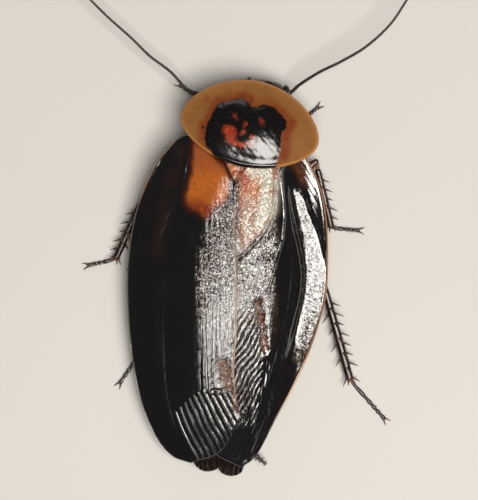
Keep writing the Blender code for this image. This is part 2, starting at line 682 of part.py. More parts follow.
def build_feelers(material, collection):
    """The two antennae: a thick first joint, then a long whip that thins to its tip."""
    for side, places in ((LEFT, LEFT_FEELER), (RIGHT, RIGHT_FEELER)):
        path = route(places)
        length = sum((Vector(b) - Vector(a)).length for a, b in zip(places, places[1:]))
        count = round(length / FEELER_STEP)
        points = []
        radii = []
        for index in range(count + 1):
            share = index / count
            points.append(path(share))
            taper = FEELER_BASE_RADIUS * 0.72 + (FEELER_TIP_RADIUS - FEELER_BASE_RADIUS * 0.72) * share
            radii.append(FEELER_BASE_RADIUS if index < 2 else taper)
        build_tube("antenna_" + SIDE_NAMES[side], points, radii, material, collection)


def build_palps(material, collection):
    """The jointed feelers beside the mouth: a long pair and a short pair."""
    for side in (LEFT, RIGHT):
        for kind, places, radius in (("maxillary", LONG_PALP, LONG_PALP_RADIUS),
                                     ("labial", SHORT_PALP, SHORT_PALP_RADIUS)):
            points = [head_point(side * a, f, c) for a, f, c in places]
            radii = [radius * (PALP_WAIST if index % 2 else 1.0) for index in range(len(points))]
            name = kind + "_palp_" + SIDE_NAMES[side]
            build_tube(name, points, radii, material, collection)


def build_cerci(material, collection):
    """The ringed, flattened feelers of the tail."""
    for side, tip in CERCUS_TIPS.items():
        across, behind, height = CERCUS_START
        start = Vector((side * across, ABDOMEN_REAR + behind, height))
        end = Vector(tip)
        ahead = (end - start).normalized()
        across = ahead.cross(UP).normalized()
        upright = across.cross(ahead)
        rings = []
        for joint in range(CERCUS_JOINTS):
            for share, swell in ((0.05, 0.85), (0.95, 1.0)):
                along = (joint + share) / CERCUS_JOINTS
                half = CERCUS_BASE_HALF + (CERCUS_TIP_HALF - CERCUS_BASE_HALF) * along ** 1.3
                rings.append(oval(start.lerp(end, along), across, upright, half * swell,
                                  half * swell * CERCUS_FLATNESS, 8))
        add_mesh("cercus_" + SIDE_NAMES[side], loft(rings), material, collection)


def limb(name, start, end, stations, material, collection, sides=8):
    """A straight limb segment through oval sections: (share, half width, half height)."""
    ahead = (end - start).normalized()
    across = ahead.cross(UP).normalized()
    upright = across.cross(ahead)
    rings = []
    for share, half_width, half_height in stations:
        rings.append(oval(start.lerp(end, share), across, upright, half_width, half_height, sides))
    return add_mesh(name, loft(rings), material, collection)


def outward_of(ahead, side):
    """The level direction square to a leg segment that points away from the midline."""
    across = ahead.cross(UP).normalized()
    return across if across.x * side > 0 else -across


def knee_of(hip, ankle, femur, tibia, tilt, side):
    """The knee of a bent leg: out from the line from hip to ankle, and up by the tilt."""
    line = ankle - hip
    reach = min(line.length, (femur + tibia) * 0.995)
    ahead = line.normalized()
    along = (femur ** 2 - tibia ** 2 + reach ** 2) / (2 * reach)
    off = math.sqrt(femur ** 2 - along ** 2)
    outward = outward_of(ahead, side)
    rise = outward.cross(ahead).normalized()
    if rise.z < 0:
        rise.negate()
    return hip + ahead * along + outward * (off * math.cos(tilt)) + rise * (off * math.sin(tilt))


def build_spine(root, direction, length, material, collection):
    """One tapering spine, its root sunk in the limb."""
    mesh = bmesh.new()
    bmesh.ops.create_cone(mesh, cap_ends=True, segments=5, radius1=SPINE_RADIUS,
                          radius2=SPINE_TIP_RADIUS, depth=length)
    turn = DOWN.rotation_difference(-direction).to_matrix().to_4x4()
    bmesh.ops.transform(mesh, matrix=Matrix.Translation(root + direction * (length / 2)) @ turn, verts=mesh.verts)
    return add_mesh("spine", mesh, material, collection)


def build_tibia(name, hip, knee, ankle, side, sizes, material, collection):
    """The long spiny segment: three rows of spines and a ring of spurs at its end."""
    ahead = (ankle - knee).normalized()
    girth = TIBIA_HALF_WIDTH * sizes["girth"]
    fold = 1 - ahead.dot((knee - hip).normalized())
    start = knee + ahead * (JOINT_RADIUS * sizes["girth"] + GAP + KNEE_FOLD_ROOM * fold)
    stations = [(share, girth * wide, girth * tall) for share, wide, tall in TIBIA_SECTIONS]
    tibia = limb(name, start, ankle, stations, material, collection)
    outward = outward_of(ahead, side)
    rise = outward.cross(ahead)
    if rise.z < 0:
        rise.negate()
    length = (ankle - start).length
    spines = []
    for row, degrees in enumerate(SPINE_ROWS):
        angle = math.radians(degrees)
        count = sizes["spines"] if row == 0 else sizes["spines"] - 2
        for index in range(count):
            share = SPINES_FROM + SPINES_SPAN * (index + 0.33 * row) / max(count - 1, 1)
            if share > SPINES_END:
                continue
            out = outward * math.cos(angle) + rise * math.sin(angle)
            direction = out * math.cos(SPINE_LEAN) + ahead * math.sin(SPINE_LEAN)
            reach = SPINE_LENGTH * sizes["girth"] * (1 + 0.2 * math.sin(2.4 * index + row))
            root = start + ahead * (length * share)
            spines.append(build_spine(root, direction, reach + girth, material, collection))
    for degrees in SPUR_ANGLES:
        angle = math.radians(degrees)
        out = outward * math.cos(angle) + rise * math.sin(angle)
        direction = (out + ahead).normalized()
        root = start + ahead * (length - SPUR_SET_BACK)
        spines.append(build_spine(root, direction, SPUR_LENGTH * sizes["girth"], material, collection))
    fuse(tibia, spines, collection)


def build_tarsus(name, ankle, toe, material, collection):
    """The foot: five joints, each with a flat pad on the floor, and two claws."""
    ahead = Vector((toe.x - ankle.x, toe.y - ankle.y, 0))
    length = ahead.length - CLAW_LENGTH
    ahead.normalize()
    across = ahead.cross(UP)
    start = Vector((ankle.x, ankle.y, 0)) + ahead * TARSUS_SET_OFF
    length -= TARSUS_SET_OFF
    rings = []
    before = 0.0
    for joint in TARSUS_JOINTS:
        span = joint - before
        for share, swell, lift in FOOT_SECTIONS:
            along = (before + span * share) * length
            half_height = TARSUS_HALF_HEIGHT * swell
            centre = start + ahead * along + UP * (half_height * math.cos(math.pi / 8) + lift)
            rings.append(oval(centre, across, UP, TARSUS_HALF_WIDTH * swell, half_height, 8))
        before = joint
    tarsus = add_mesh(name, loft(rings), material, collection)
    claws = []
    back, beside, height = CLAW_ROOT
    for turn in (-1, 1):
        root = start + ahead * (length - back) + across * (beside * turn) + UP * height
        sections = []
        for forward, outward, up, half in CLAW_SECTIONS:
            centre = root + ahead * forward + across * (outward * turn) + UP * up
            sections.append(oval(centre, across, UP, half, half, 5))
        claws.append(add_mesh("claw", loft(sections), material, collection))
    fuse(tarsus, claws, collection)


def build_leg(kind, side, material, collection):
    """A leg of four pieces from the hip plate to the claws."""
    places = LEGS[kind, side]
    sizes = LEG_SIZES[kind]
    girth = sizes["girth"]
    hip = Vector(places["hip"])
    ankle = Vector(places["ankle"])
    knee = knee_of(hip, ankle, sizes["femur"], sizes["tibia"], math.radians(places["tilt"]), side)
    name = "leg_" + kind + "_" + SIDE_NAMES[side] + "_"
    base = Vector((*places["base"], COXA_BASE_HEIGHT[kind]))
    plate = COXA_HALF_WIDTH * girth
    stations = [(share, plate * wide, COXA_HALF_HEIGHT * tall) for share, wide, tall in COXA_SECTIONS]
    stations += [(0.9, HIP_RADIUS, HIP_RADIUS), (1.0, HIP_RADIUS * 0.65, HIP_RADIUS * 0.65)]
    limb(name + "coxa", base, hip + DOWN * 0.1, stations, material, collection)
    ahead = (knee - hip).normalized()
    fold = 1 - ahead.dot((hip - base).normalized())
    start = hip + ahead * (HIP_RADIUS + GAP + HIP_FOLD_ROOM * fold)
    knob = JOINT_RADIUS * girth
    half_width = FEMUR_HALF_WIDTH * girth
    half_height = FEMUR_HALF_HEIGHT * girth
    stations = [(share, half_width * wide, half_height * tall) for share, wide, tall in FEMUR_SECTIONS]
    stations += [(share, knob * size, knob * size) for share, size in KNOB_SECTIONS]
    limb(name + "femur", start, knee + ahead * knob, stations, material, collection)
    build_tibia(name + "tibia", hip, knee, ankle, side, sizes, material, collection)
    build_tarsus(name + "tarsus", ankle, Vector((*places["toe"], 0)), material, collection)


def set_origin(collection, cutters):
    """Hangs every piece on one empty that puts the footprint's middle at the origin."""
    bpy.context.view_layer.update()
    corners = [item.matrix_world @ Vector(corner) for item in collection.objects for corner in item.bound_box]
    low = [min(corner[axis] for corner in corners) for axis in range(3)]
    high = [max(corner[axis] for corner in corners) for axis in range(3)]
    body = bpy.data.objects.new("body_frame", None)
    body.location = (-(low[0] + high[0]) / 2, -(low[1] + high[1]) / 2, -low[2])
    for item in (*collection.objects, *cutters.objects):
        item.parent = body
    collection.objects.link(body)
    bpy.context.view_layer.update()


def main():
    clear_scene()
    collection = bpy.data.collections.new("cockroach")
    cutters = bpy.data.collections.new("cutters")
    for group in (collection, cutters):
        bpy.context.scene.collection.children.link(group)
    shield_shell = make_material("tan_shield", (0.38, 0.2, 0.09), 0.35)
    wing_shell = make_material("dark_wing", (0.025, 0.014, 0.009), 0.25)
    membrane = make_material("smoky_membrane", (0.12, 0.07, 0.04), 0.35)
    body_shell = make_material("brown_body", (0.1, 0.045, 0.02), 0.4)
    leg_shell = make_material("leg_brown", (0.03, 0.016, 0.01), 0.3)
    eye_shell = make_material("eye_black", (0.01, 0.008, 0.008), 0.15)
    build_shield(shield_shell, collection)
    build_prothorax(body_shell, collection)
    build_thorax(body_shell, collection)
    build_abdomen(body_shell, collection)
    build_forewing(LEFT, LEFT_OUTER_MARGIN, LEFT_INNER_MARGIN, LEFT_WING_BASE, wing_shell, collection)
    build_forewing(RIGHT, RIGHT_OUTER_MARGIN, RIGHT_INNER_MARGIN, RIGHT_WING_BASE, wing_shell, collection)
    build_hind_wing(LEFT, LEFT_HIND_OUTER, LEFT_HIND_TIP, membrane, collection)
    build_hind_wing(RIGHT, RIGHT_HIND_OUTER, RIGHT_HIND_TIP, membrane, collection)
    build_head(body_shell, eye_shell, leg_shell, collection, cutters)
    build_neck(body_shell, collection)
    build_feelers(leg_shell, collection)
    build_palps(body_shell, collection)
    build_cerci(leg_shell, collection)
    for kind, side in LEGS:
        build_leg(kind, side, leg_shell, collection)
    set_origin(collection, cutters)


if __name__ == "__main__":
    main()
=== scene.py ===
"""Deaths head cockroach, a life-size still model.

The shield, wings, trunk, head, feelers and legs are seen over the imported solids, each in its own finish.
Shapes are worked out in millimetres in the body's own frame: +Y towards the head, +X the animal's right,
+Z up, the floor at 0 and x = 0 on the midline of the abdomen.
"""

import math

import bmesh
import bpy
import numpy as np
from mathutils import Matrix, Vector


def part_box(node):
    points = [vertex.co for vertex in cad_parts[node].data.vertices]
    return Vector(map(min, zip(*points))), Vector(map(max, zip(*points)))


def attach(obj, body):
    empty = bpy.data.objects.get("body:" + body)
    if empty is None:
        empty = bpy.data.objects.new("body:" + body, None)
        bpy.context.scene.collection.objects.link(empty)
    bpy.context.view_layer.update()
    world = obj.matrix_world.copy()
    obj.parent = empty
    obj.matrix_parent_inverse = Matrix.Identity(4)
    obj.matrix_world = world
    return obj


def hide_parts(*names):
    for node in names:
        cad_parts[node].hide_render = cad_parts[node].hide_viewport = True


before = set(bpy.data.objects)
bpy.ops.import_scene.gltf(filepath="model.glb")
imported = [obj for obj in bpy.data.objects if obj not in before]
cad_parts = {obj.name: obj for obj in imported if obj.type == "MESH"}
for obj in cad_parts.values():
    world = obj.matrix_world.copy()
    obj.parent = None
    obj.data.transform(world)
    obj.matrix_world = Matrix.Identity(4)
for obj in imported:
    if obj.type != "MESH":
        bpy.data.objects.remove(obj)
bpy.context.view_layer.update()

bl_info = {
    "name": "Deaths head cockroach model",
    "version": (1, 0, 0),
    "blender": (4, 5, 0),
    "location": "3D View > Sidebar > Cockroach",
    "description": "Builds a life-size still model of a deaths head cockroach over its packed solids",
    "category": "Add Mesh",
}

MM = 0.001
LEFT, RIGHT = -1, 1
SIDES = {LEFT: "left", RIGHT: "right"}
UP = np.array((0.0, 0.0, 1.0))
# The abdomen's front edge lies 11.6 mm ahead of the body frame's origin, and its middle on it.
ABDOMEN_FRONT = 11.6
ABDOMEN_LOW, ABDOMEN_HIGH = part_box("abdomen")
SHIFT = np.array(((ABDOMEN_LOW.x + ABDOMEN_HIGH.x) / 2 / MM, ABDOMEN_HIGH.y / MM - ABDOMEN_FRONT, 0.0))

# The dome of the folded wings: height on the midline and at the margin, and half width, along the body.
DOME_CREST = [(-24, 4.2), (-20, 5.3), (-15, 6.8), (-8, 8.4), (0, 9.3), (10, 9.6), (20, 9.2), (26, 8.4)]
DOME_MARGIN = [(-24, 3.7), (-18, 3.9), (-8, 4.2), (0, 4.3), (8, 4.5), (16, 5.0), (22, 5.8), (26, 6.4)]
DOME_HALF_WIDTH = [(-24, 6.0), (-20, 7.6), (-13, 11.2), (-6, 13.1), (2, 14.4), (10, 14.6), (18, 13.4),
                   (26, 12.6)]
DOME_FALL = [(0.0, 0.0), (0.2, 0.02), (0.45, 0.13), (0.6, 0.36), (0.72, 0.63), (0.8, 0.77), (0.9, 0.87),
             (1.0, 1.0)]

# Forewing outlines in plan, from the base backwards.
OUTER_MARGIN = {
    LEFT: [(-8.8, 25.1), (-11.5, 21.4), (-13.65, 15.45), (-14.5, 8.85), (-14.25, 1.6), (-13.15, -5.6),
           (-11.3, -12.7), (-8.8, -17.8), (-6.1, -20.6), (-3.4, -21.3)],
    RIGHT: [(9.3, 25.2), (12.2, 20.6), (13.8, 15.2), (14.5, 8.2), (14.4, 3.5), (13.0, -3.0), (10.9, -8.9),
            (8.5, -14.2), (5.9, -19.9), (4.0, -21.5)],
}
INNER_MARGIN = {
    LEFT: [(-0.25, 20.2), (0.4, 15.6), (1.3, 7.1), (1.9, -1.4), (2.0, -8.0), (3.3, -14.1)],
    RIGHT: [(0.3, 20.2), (-0.4, 15.6), (-1.3, 7.1), (-1.9, -1.4), (-2.0, -8.0), (-3.0, -14.1)],
}
WING_BASE = {
    LEFT: [(-7.2, 25.9), (-4.6, 25.3), (-2.5, 23.7), (-1.2, 21.9)],
    RIGHT: [(7.6, 25.6), (5.8, 24.7), (3.2, 23.2), (1.5, 21.8)],
}
WING_TIP_BEND = (0.9, 1.5)
WING_LENGTH = 46.0
WING_ROWS, WING_COLUMNS = 300, 150
WING_EDGE_RADIUS = 0.35
# The upper face lies this far over the dome, and the left wing this far over it as the right one lies under
# it.
WING_TOP = 0.25
OVERLAP_STEP = 0.26
# Share across the wing, from outer to inner margin, of each main line at shares of the wing's length.
SUBCOSTA = [(0.0, 0.2), (0.12, 0.17), (0.3, 0.07), (0.38, 0.0)]
RADIUS_VEIN = [(0.0, 0.3), (0.1, 0.33), (0.25, 0.33), (0.5, 0.3), (0.75, 0.25), (1.0, 0.2)]
COSTAL_BRANCH_SPACING, DISCAL_VEINS = 1.5, 11
# Clavus, the inner field of each forewing, drawn past the base and the inner margin: its outer side is the
# furrow.
CLAVUS = {LEFT: [(-6.6, 28.0), (-6.7, 20.5), (-6.8, 17.5), (-6.3, 14.5), (-4.9, 11.0), (-2.5, 8.3),
                 (0.5, 6.0), (6.0, 3.0), (9.0, 28.0)],
          RIGHT: [(6.6, 28.0), (6.1, 22.5), (5.8, 19.8), (5.85, 17.5), (5.8, 16.0), (5.2, 14.0), (4.3, 12.2),
                  (2.4, 9.8), (1.0, 8.6), (-1.5, 7.0), (-6.0, 4.0), (-9.0, 28.0)]}
MAIN_VEIN = {LEFT: [(-7.0, 23.5), (-7.1, 20.0), (-7.9, 15.0), (-7.8, 11.5), (-7.2, 8.0), (-6.6, 5.0),
                    (-6.0, 2.0)],
             RIGHT: [(6.9, 23.5), (6.75, 20.4), (7.33, 17.6), (7.66, 15.0), (7.6, 11.9), (6.96, 8.7),
                     (6.41, 6.3), (5.9, 3.5)]}
# Fields where the fine net stands up and the light breaks on it; a lighter grey-brown is painted there too as
# sheen.
NET_AND_SHEEN_FIELDS = {LEFT: [[(-0.9, 18.0), (-1.7, 15.5), (-2.6, 12.6), (-3.3, 8.8), (-3.2, 4.8), (-2.9, 0.8),
                  (-2.4, -3.2), (-2.1, -6.4), (-1.4, -9.8), (4.0, -9.8), (4.0, 18.0)]],
          RIGHT: [[(0.0, 24.0), (6.6, 24.0), (6.6, 17.8), (6.9, 12.0), (6.6, 6.0), (7.2, 2.0), (6.9, -2.6),
                   (5.4, -3.6), (5.2, -8.0), (4.6, -11.5), (3.4, -14.5), (0.0, -12.0)],
                  [(8.7, 18.8), (9.2, 17.0), (9.9, 14.3), (10.7, 10.4), (11.3, 6.4), (11.4, 0.7),
                   (11.1, -2.9), (10.7, -5.4), (11.4, -6.0), (12.9, -2.8), (14.2, 1.6), (14.5, 5.9),
                   (13.1, 10.8), (11.2, 15.7), (9.6, 19.0)]]}
# Stained places, in plan: a stroke, its half width in mm and its strength.
# The pale stain on the right clavus is partly its pale tan and partly a painted highlight.
CREAM_AND_SHEEN = {
    LEFT: [],
    RIGHT: [([(3.2, 21.2), (4.6, 21.6), (5.3, 19.0), (5.0, 16.5), (4.2, 14.2)], 1.6, 1.0),
            ([(2.2, 17.4), (2.4, 14.0), (2.2, 11.0)], 1.2, 0.6)],
}
RUST = {
    LEFT: [],
    RIGHT: [([(0.9, 20.9), (1.6, 19.9)], 0.75, 0.95), ([(1.5, 18.9), (1.8, 16.5)], 0.9, 0.45),
            ([(5.6, 22.0), (5.7, 21.0)], 0.6, 0.6), ([(2.9, 15.0), (2.9, 14.6)], 0.4, 0.5),
            ([(1.5, 12.9), (1.9, 10.4)], 0.4, 0.55)],
}
# CRACK_PATCH and RIDGE_VALLEY are also pressed in a little.
CRACK_PATCH = [(0.3, -6.6), (0.9, -8.6), (1.4, -9.2)]
RIDGE_VALLEY = [(4.6, 2.8), (5.2, 0.5), (5.7, -1.9), (6.2, -4.0)]
BROWN = {
    LEFT: [([(-1.6, 16.6), (-0.8, 13.0), (-0.6, 10.0)], 1.5, 0.15),
           ([(-8.0, 23.6), (-9.1, 18.6), (-9.9, 13.5), (-10.4, 8.9)], 1.3, 0.2), (CRACK_PATCH, 1.0, 0.8),
           ([(-8.2, 4.6), (-5.5, 2.6), (-4.2, 0.4)], 2.0, 0.07), ([(2.3, -10.6), (2.9, -13.2)], 0.7, 0.75)],
    RIGHT: [([(9.3, 22.4), (10.6, 20.6)], 1.4, 0.6), (RIDGE_VALLEY, 0.6, 0.9),
            ([(7.2, 3.6), (7.6, -0.5), (7.2, -3.0)], 0.6, 0.2), ([(4.6, 2.6), (3.5, 0.0)], 0.4, 0.4)],
}
# The crack across the left forewing.
CRACK = [(-0.95, -10.35), (0.4, -10.2), (1.3, -9.75), (2.2, -9.75)]
# The flatter shelf along the outer margin: place along the body, its middle as a share of the dome's half
# width, and its half width in mm.
SHELF = [(-12.0, (0.8, 0.7)), (-4.0, (0.82, 0.9)), (0.0, (0.85, 1.2)), (4.0, (0.885, 1.4)),
         (7.5, (0.878, 1.4)), (10.0, (0.836, 1.25)), (13.5, (0.777, 1.1)), (17.7, (0.706, 0.7)),
         (24.0, (0.62, 0.4))]
SHELF_SLOPE = 0.11
# How high the main vein, the shelf and the clavus stand on each wing, and where its net starts to fade in.
MAIN_VEIN_RISE = {LEFT: 0.5, RIGHT: 1.9}
SHELF_RISE = {LEFT: 0.1, RIGHT: 1.0}
CLAVUS_RISE = {LEFT: 0.3, RIGHT: 1.0}
NET_FADE = {LEFT: -2.2, RIGHT: -1.0}
# How far the cells of the raised net turn away from the surface.
NET_SCATTER = 0.29
# Where the left wing's rear ridges begin: a place across and the height along the body there.
REAR_FOLD = [(-9.0, -17.0), (-6.1, -13.6), (-2.7, -10.6), (1.8, -9.8), (4.0, -9.7)]
# Amber field at the base of each forewing and its darker lower fringe, in plan.
AMBER_FIELD = {LEFT: [(-6.4, 25.2), (-6.4, 21.6), (-6.6, 19.4), (-7.0, 17.6), (-7.0, 16.1), (-6.3, 15.3),
                      (-4.9, 14.8), (-4.0, 13.9), (-3.3, 13.9), (-2.7, 14.9), (-1.7, 15.9), (-0.8, 16.5),
                      (-0.3, 17.8), (-0.4, 19.2), (-0.5, 20.4), (-1.3, 21.8), (-3.7, 23.9)],
               RIGHT: [(1.2, 23.5), (0.5, 20.0), (0.7, 16.0), (1.3, 12.2), (2.1, 10.3), (3.9, 11.8),
                       (5.2, 13.3), (5.9, 15.0), (6.1, 17.0), (5.9, 19.5), (6.0, 22.5), (5.0, 25.0)]}

# The shield, turned a little to the animal's right.
SHIELD_CENTRE = np.array((1.7, 27.4))
SHIELD_YAW = math.radians(8)
SHIELD_HALF_WIDTH, SHIELD_FRONT, SHIELD_REAR, SHIELD_POWER = 10.1, 7.1, 5.6, 1.8
SHIELD_CREST, SHIELD_CREST_AT = 10.7, -1.5
SHIELD_SIDE_FALL, SHIELD_FRONT_FALL, SHIELD_REAR_FALL = 2.7, 3.4, 0.75
SHIELD_SIDE_POWER, SHIELD_FRONT_POWER = 2.2, 1.8
SHIELD_TOP, SHIELD_THICKNESS = 0.29, 0.44
SHIELD_SIDES, SHIELD_EDGE_RADIUS = 240, 0.35
BLOTCH = [(-3.32, 30.12), (-2.51, 30.9), (-1.11, 31.28), (0.3, 31.6), (1.18, 31.3), (1.51, 30.75),
          (1.96, 30.36), (2.53, 30.4), (3.07, 30.87), (3.78, 30.99), (4.8, 30.7), (6.01, 29.79),
          (6.95, 28.71), (6.87, 27.85), (6.34, 27.23), (6.28, 26.09), (6.24, 24.65), (5.93, 22.91),
          (5.6, 21.0), (2.16, 20.6), (-0.6, 20.9), (-2.2, 22.0), (-3.42, 23.53), (-4.34, 24.47),
          (-4.71, 25.58), (-4.51, 26.74), (-4.3, 27.9), (-3.81, 29.08)]
# Marks inside the blotch: a route in plan, its half width in mm and how bright it burns.
MARKS = [
    ([(-1.2, 26.75), (-0.8, 26.1)], 1.15, 1.15),
    ([(-0.9, 26.1), (-0.4, 25.5), (0.3, 25.05), (0.9, 24.95), (1.6, 25.1)], 0.62, 1.0),
    ([(1.7, 25.2), (2.2, 25.9)], 0.62, 0.8),
    ([(1.1, 28.1), (0.95, 27.3), (0.67, 26.5)], 0.5, 0.62),
    ([(-0.55, 29.1), (-0.45, 28.8)], 0.66, 0.5),
    ([(3.35, 28.5), (3.4, 28.1)], 0.66, 0.58),
]
# Warm places on the shield's margin, as strokes like the marks, and a small dark stain.
WARM_EDGE = [([(7.3, 28.6), (6.9, 26.5), (6.7, 23.8)], 1.1, 1.0), ([(-5.0, 27.5), (-5.2, 25.6)], 0.7, 0.8)]
SMALL_STAIN = [(-4.95, 27.1), (-5.0, 27.0)]

# Hind wings, folded beneath the forewings.
HIND_WING_DEPTH, HIND_PLEATS = 1.4, 7
HIND_OUTER = {
    LEFT: [(-7.6, 19.2), (-10.2, 12.0), (-10.6, 4.0), (-9.4, -6.0), (-6.4, -14.5), (-3.4, -20.6)],
    RIGHT: [(7.6, 19.2), (10.2, 12.0), (10.6, 4.0), (9.0, -6.0), (6.6, -14.5), (4.5, -20.6)],
}
HIND_TIP = {LEFT: [(-3.1, -21.3), (-2.4, -22.1), (-1.4, -22.6), (-0.3, -22.5), (0.5, -22.1)],
            RIGHT: [(4.4, -21.5), (4.1, -22.4), (3.2, -22.95), (2.0, -23.0), (1.0, -22.5)]}
HIND_MIDLINE, HIND_OVERLAP, HIND_FRONT, HIND_REAR = 0.7, 0.3, 19.2, -21.3


def linear(hex_colour):
    """An sRGB hex value as linear red, green and blue."""
    shares = [int(hex_colour[start:start + 2], 16) / 255 for start in (1, 3, 5)]
    return tuple(share / 12.92 if share <= 0.04045 else ((share + 0.055) / 1.055) ** 2.4 for share in shares)


def colour_setting(title, hex_colour, use):
    return bpy.props.FloatVectorProperty(name=title, description=use, subtype="COLOR", size=3, min=0, max=1,
                                         default=linear(hex_colour))


def length_setting(title, millimetres, use):
    return bpy.props.FloatProperty(name=title, description=use, subtype="DISTANCE", unit="LENGTH", min=0,
                                   precision=5, default=millimetres * MM)


class CockroachSizes(bpy.types.PropertyGroup):
    """Sizes that a maker may want to change."""

    vein_height: length_setting("Vein height", 0.085, "How far the forewings' veins stand up")
    net_cell: length_setting("Net cell", 0.25, "Width of one cell of the forewings' fine net")
    wing_thickness: length_setting("Forewing thickness", 0.26, "Thickness of the leathery forewings")
    rim_height: length_setting("Shield rim height", 0.11, "How far the shield's rolled rim stands up")


class CockroachColours(bpy.types.PropertyGroup):
    """Colours that a maker may want to change."""

    shield_tan: colour_setting("Shield margin", "#885A2B", "Translucent tan margin of the shield")
    shield_orange: colour_setting("Shield by the blotch", "#7A350A",
                                  "Warmer ring of the shield next to its blotch")
    blotch_black: colour_setting("Blotch", "#0C0A09", "Black blotch of the shield")
    mark_red: colour_setting("Blotch marks", "#A63C1E", "Orange-red marks inside the blotch")
    wing_black: colour_setting("Forewings", "#080505", "Black-brown field of the forewings")
    wing_amber: colour_setting("Forewing bases", "#BC641C", "Amber field at the base of the forewings")
    # The pale stain of the right clavus is partly its pale tan and partly a painted highlight.
    wing_cream_and_sheen: colour_setting("Forewing clavus", "#D0C8B2",
                               "Cream stain on the inner field of the right forewing")
    membrane_smoke: colour_setting("Hind wings", "#1E120B", "Smoky brown of the hind wings")
    floor_pale: colour_setting("Floor", "#D6D4CF", "Pale studio floor")


def spline(stations):
    """A smooth function through (place, value) stations, steady beyond its ends, for any array of places."""
    places = np.array([place for place, _ in stations], float)
    values = np.array([value for _, value in stations], float)
    order = np.arange(len(places))
    before, after = np.maximum(order - 1, 0), np.minimum(order + 1, len(places) - 1)
    runs = (places[after] - places[before]).reshape((-1,) + (1,) * (values.ndim - 1))
    slopes = (values[after] - values[before]) / runs

    def at(place):
        place = np.clip(np.asarray(place, float), places[0], places[-1])
        index = np.clip(np.searchsorted(places, place) - 1, 0, len(places) - 2)
        span = places[index + 1] - places[index]
        part = (place - places[index]) / span
        if values.ndim > 1:
            span, part = span[..., None], part[..., None]
        square, cube = part ** 2, part ** 3
        return (values[index] * (2 * cube - 3 * square + 1) + values[index + 1] * (3 * square - 2 * cube)
                + slopes[index] * span * (cube - 2 * square + part)
                + slopes[index + 1] * span * (cube - square))

    return at


def route(points):
    """The smooth curve through the points, for shares of its length from 0 to 1."""
    points = np.array(points, float)
    lengths = np.concatenate(([0], np.cumsum(np.linalg.norm(np.diff(points, axis=0), axis=1))))
    return spline(list(zip(lengths / lengths[-1], points)))


def ramp(value, start, end):
    """0 at start, 1 at end, with a soft change between."""
    part = np.clip((value - start) / (end - start), 0, 1)
    return part * part * (3 - 2 * part)


def ripple(x, y, size, seed):
    """A soft random height between about -1 and 1, with swells of about this size in mm."""
    total = 0.0
    waves = np.random.default_rng(seed).uniform((0, 0.6, 0), (math.pi, 1.6, 2 * math.pi), (7, 3))
    for turn, stretch, phase in waves:
        total = total + np.sin((x * math.cos(turn) + y * math.sin(turn)) * math.pi * stretch / size + phase)
    return total / 3.5


def off_segment(x, y, start, end):
    """Distance of each place from a straight line between two points, in mm."""
    (ax, ay), (bx, by) = start, end
    share = ((x - ax) * (bx - ax) + (y - ay) * (by - ay)) / ((bx - ax) ** 2 + (by - ay) ** 2)
    share = np.clip(share, 0, 1)
    return np.hypot(x - ax - share * (bx - ax), y - ay - share * (by - ay))


def inside_by(x, y, outline):
    """How far inside a closed outline each place lies in mm, below 0 outside it."""
    near, inside = np.full(np.shape(x), 1e9), np.zeros(np.shape(x), bool)
    for (ax, ay), (bx, by) in zip(outline, [*outline[1:], outline[0]]):
        near = np.minimum(near, off_segment(x, y, (ax, ay), (bx, by)))
        rise = by - ay if by != ay else 1.0
        inside ^= ((ay > y) != (by > y)) & (x < (bx - ax) * (y - ay) / rise + ax)
    return np.where(inside, near, -near)


def off_stroke(x, y, stroke):
    """Distance of each place from a drawn line, in mm."""
    return np.minimum.reduce([off_segment(x, y, start, end) for start, end in zip(stroke, stroke[1:])])


def crest(distance, half_width):
    """A rounded swell: 1 where the distance is 0, fading over its half width."""
    return np.exp(-(distance / half_width) ** 2)


def comb(phase, spacing, half_width):
    """Ridges one to each whole step of the phase; spacing and half width in mm."""
    return crest((phase - np.round(phase)) * spacing, half_width)


def stained(x, y, strokes):
    """How strongly each place is stained by soft strokes, from 0 to 1."""
    strength = np.zeros(np.shape(x))
    x, y = x + 0.12 * ripple(x, y, 2.5, 61), y + 0.2 * ripple(x, y, 2.5, 62)
    for stroke, half_width, most in strokes:
        strength = np.maximum(strength, most * ramp(off_stroke(x, y, stroke), half_width * 1.6,
                                                    half_width * 0.1))
    return strength * np.clip(0.9 + 0.3 * ripple(x, y, 1.6, 63), 0, 1)


dome_crest, dome_margin = spline(DOME_CREST), spline(DOME_MARGIN)
dome_half_width, dome_fall = spline(DOME_HALF_WIDTH), spline(DOME_FALL)


def dome(x, y):
    """The mean height of the folded wings."""
    top = dome_crest(y)
    return top - (top - dome_margin(y)) * dome_fall(np.abs(x) / dome_half_width(y))


def below_dome(x, y, depth):
    """The height of a surface that lies this deep under the dome, measured square to it."""
    reach = 0.2
    slope_x = (dome(x + reach, y) - dome(x - reach, y)) / (2 * reach)
    slope_y = (dome(x, y + reach) - dome(x, y - reach)) / (2 * reach)
    return dome(x, y) - depth * np.sqrt(1 + slope_x ** 2 + slope_y ** 2)


def shield_height(across, forward):
    """The mid height of the shield at its own plan coordinates."""
    ahead = np.maximum(forward - SHIELD_CREST_AT, 0) / (SHIELD_FRONT - SHIELD_CREST_AT)
    behind = np.maximum(SHIELD_CREST_AT - forward, 0) / (SHIELD_REAR + SHIELD_CREST_AT)
    return (SHIELD_CREST - SHIELD_SIDE_FALL * (np.abs(across) / SHIELD_HALF_WIDTH) ** SHIELD_SIDE_POWER
            - SHIELD_FRONT_FALL * ahead ** SHIELD_FRONT_POWER - SHIELD_REAR_FALL * behind ** 2)


def shield_place(across, forward, drop):
    """A point under the shield, by the shield's own plan coordinates."""
    return np.stack([SHIELD_CENTRE[0] + across * math.cos(SHIELD_YAW) + forward * math.sin(SHIELD_YAW),
                     SHIELD_CENTRE[1] - across * math.sin(SHIELD_YAW) + forward * math.cos(SHIELD_YAW),
                     shield_height(across, forward) - drop], axis=-1)


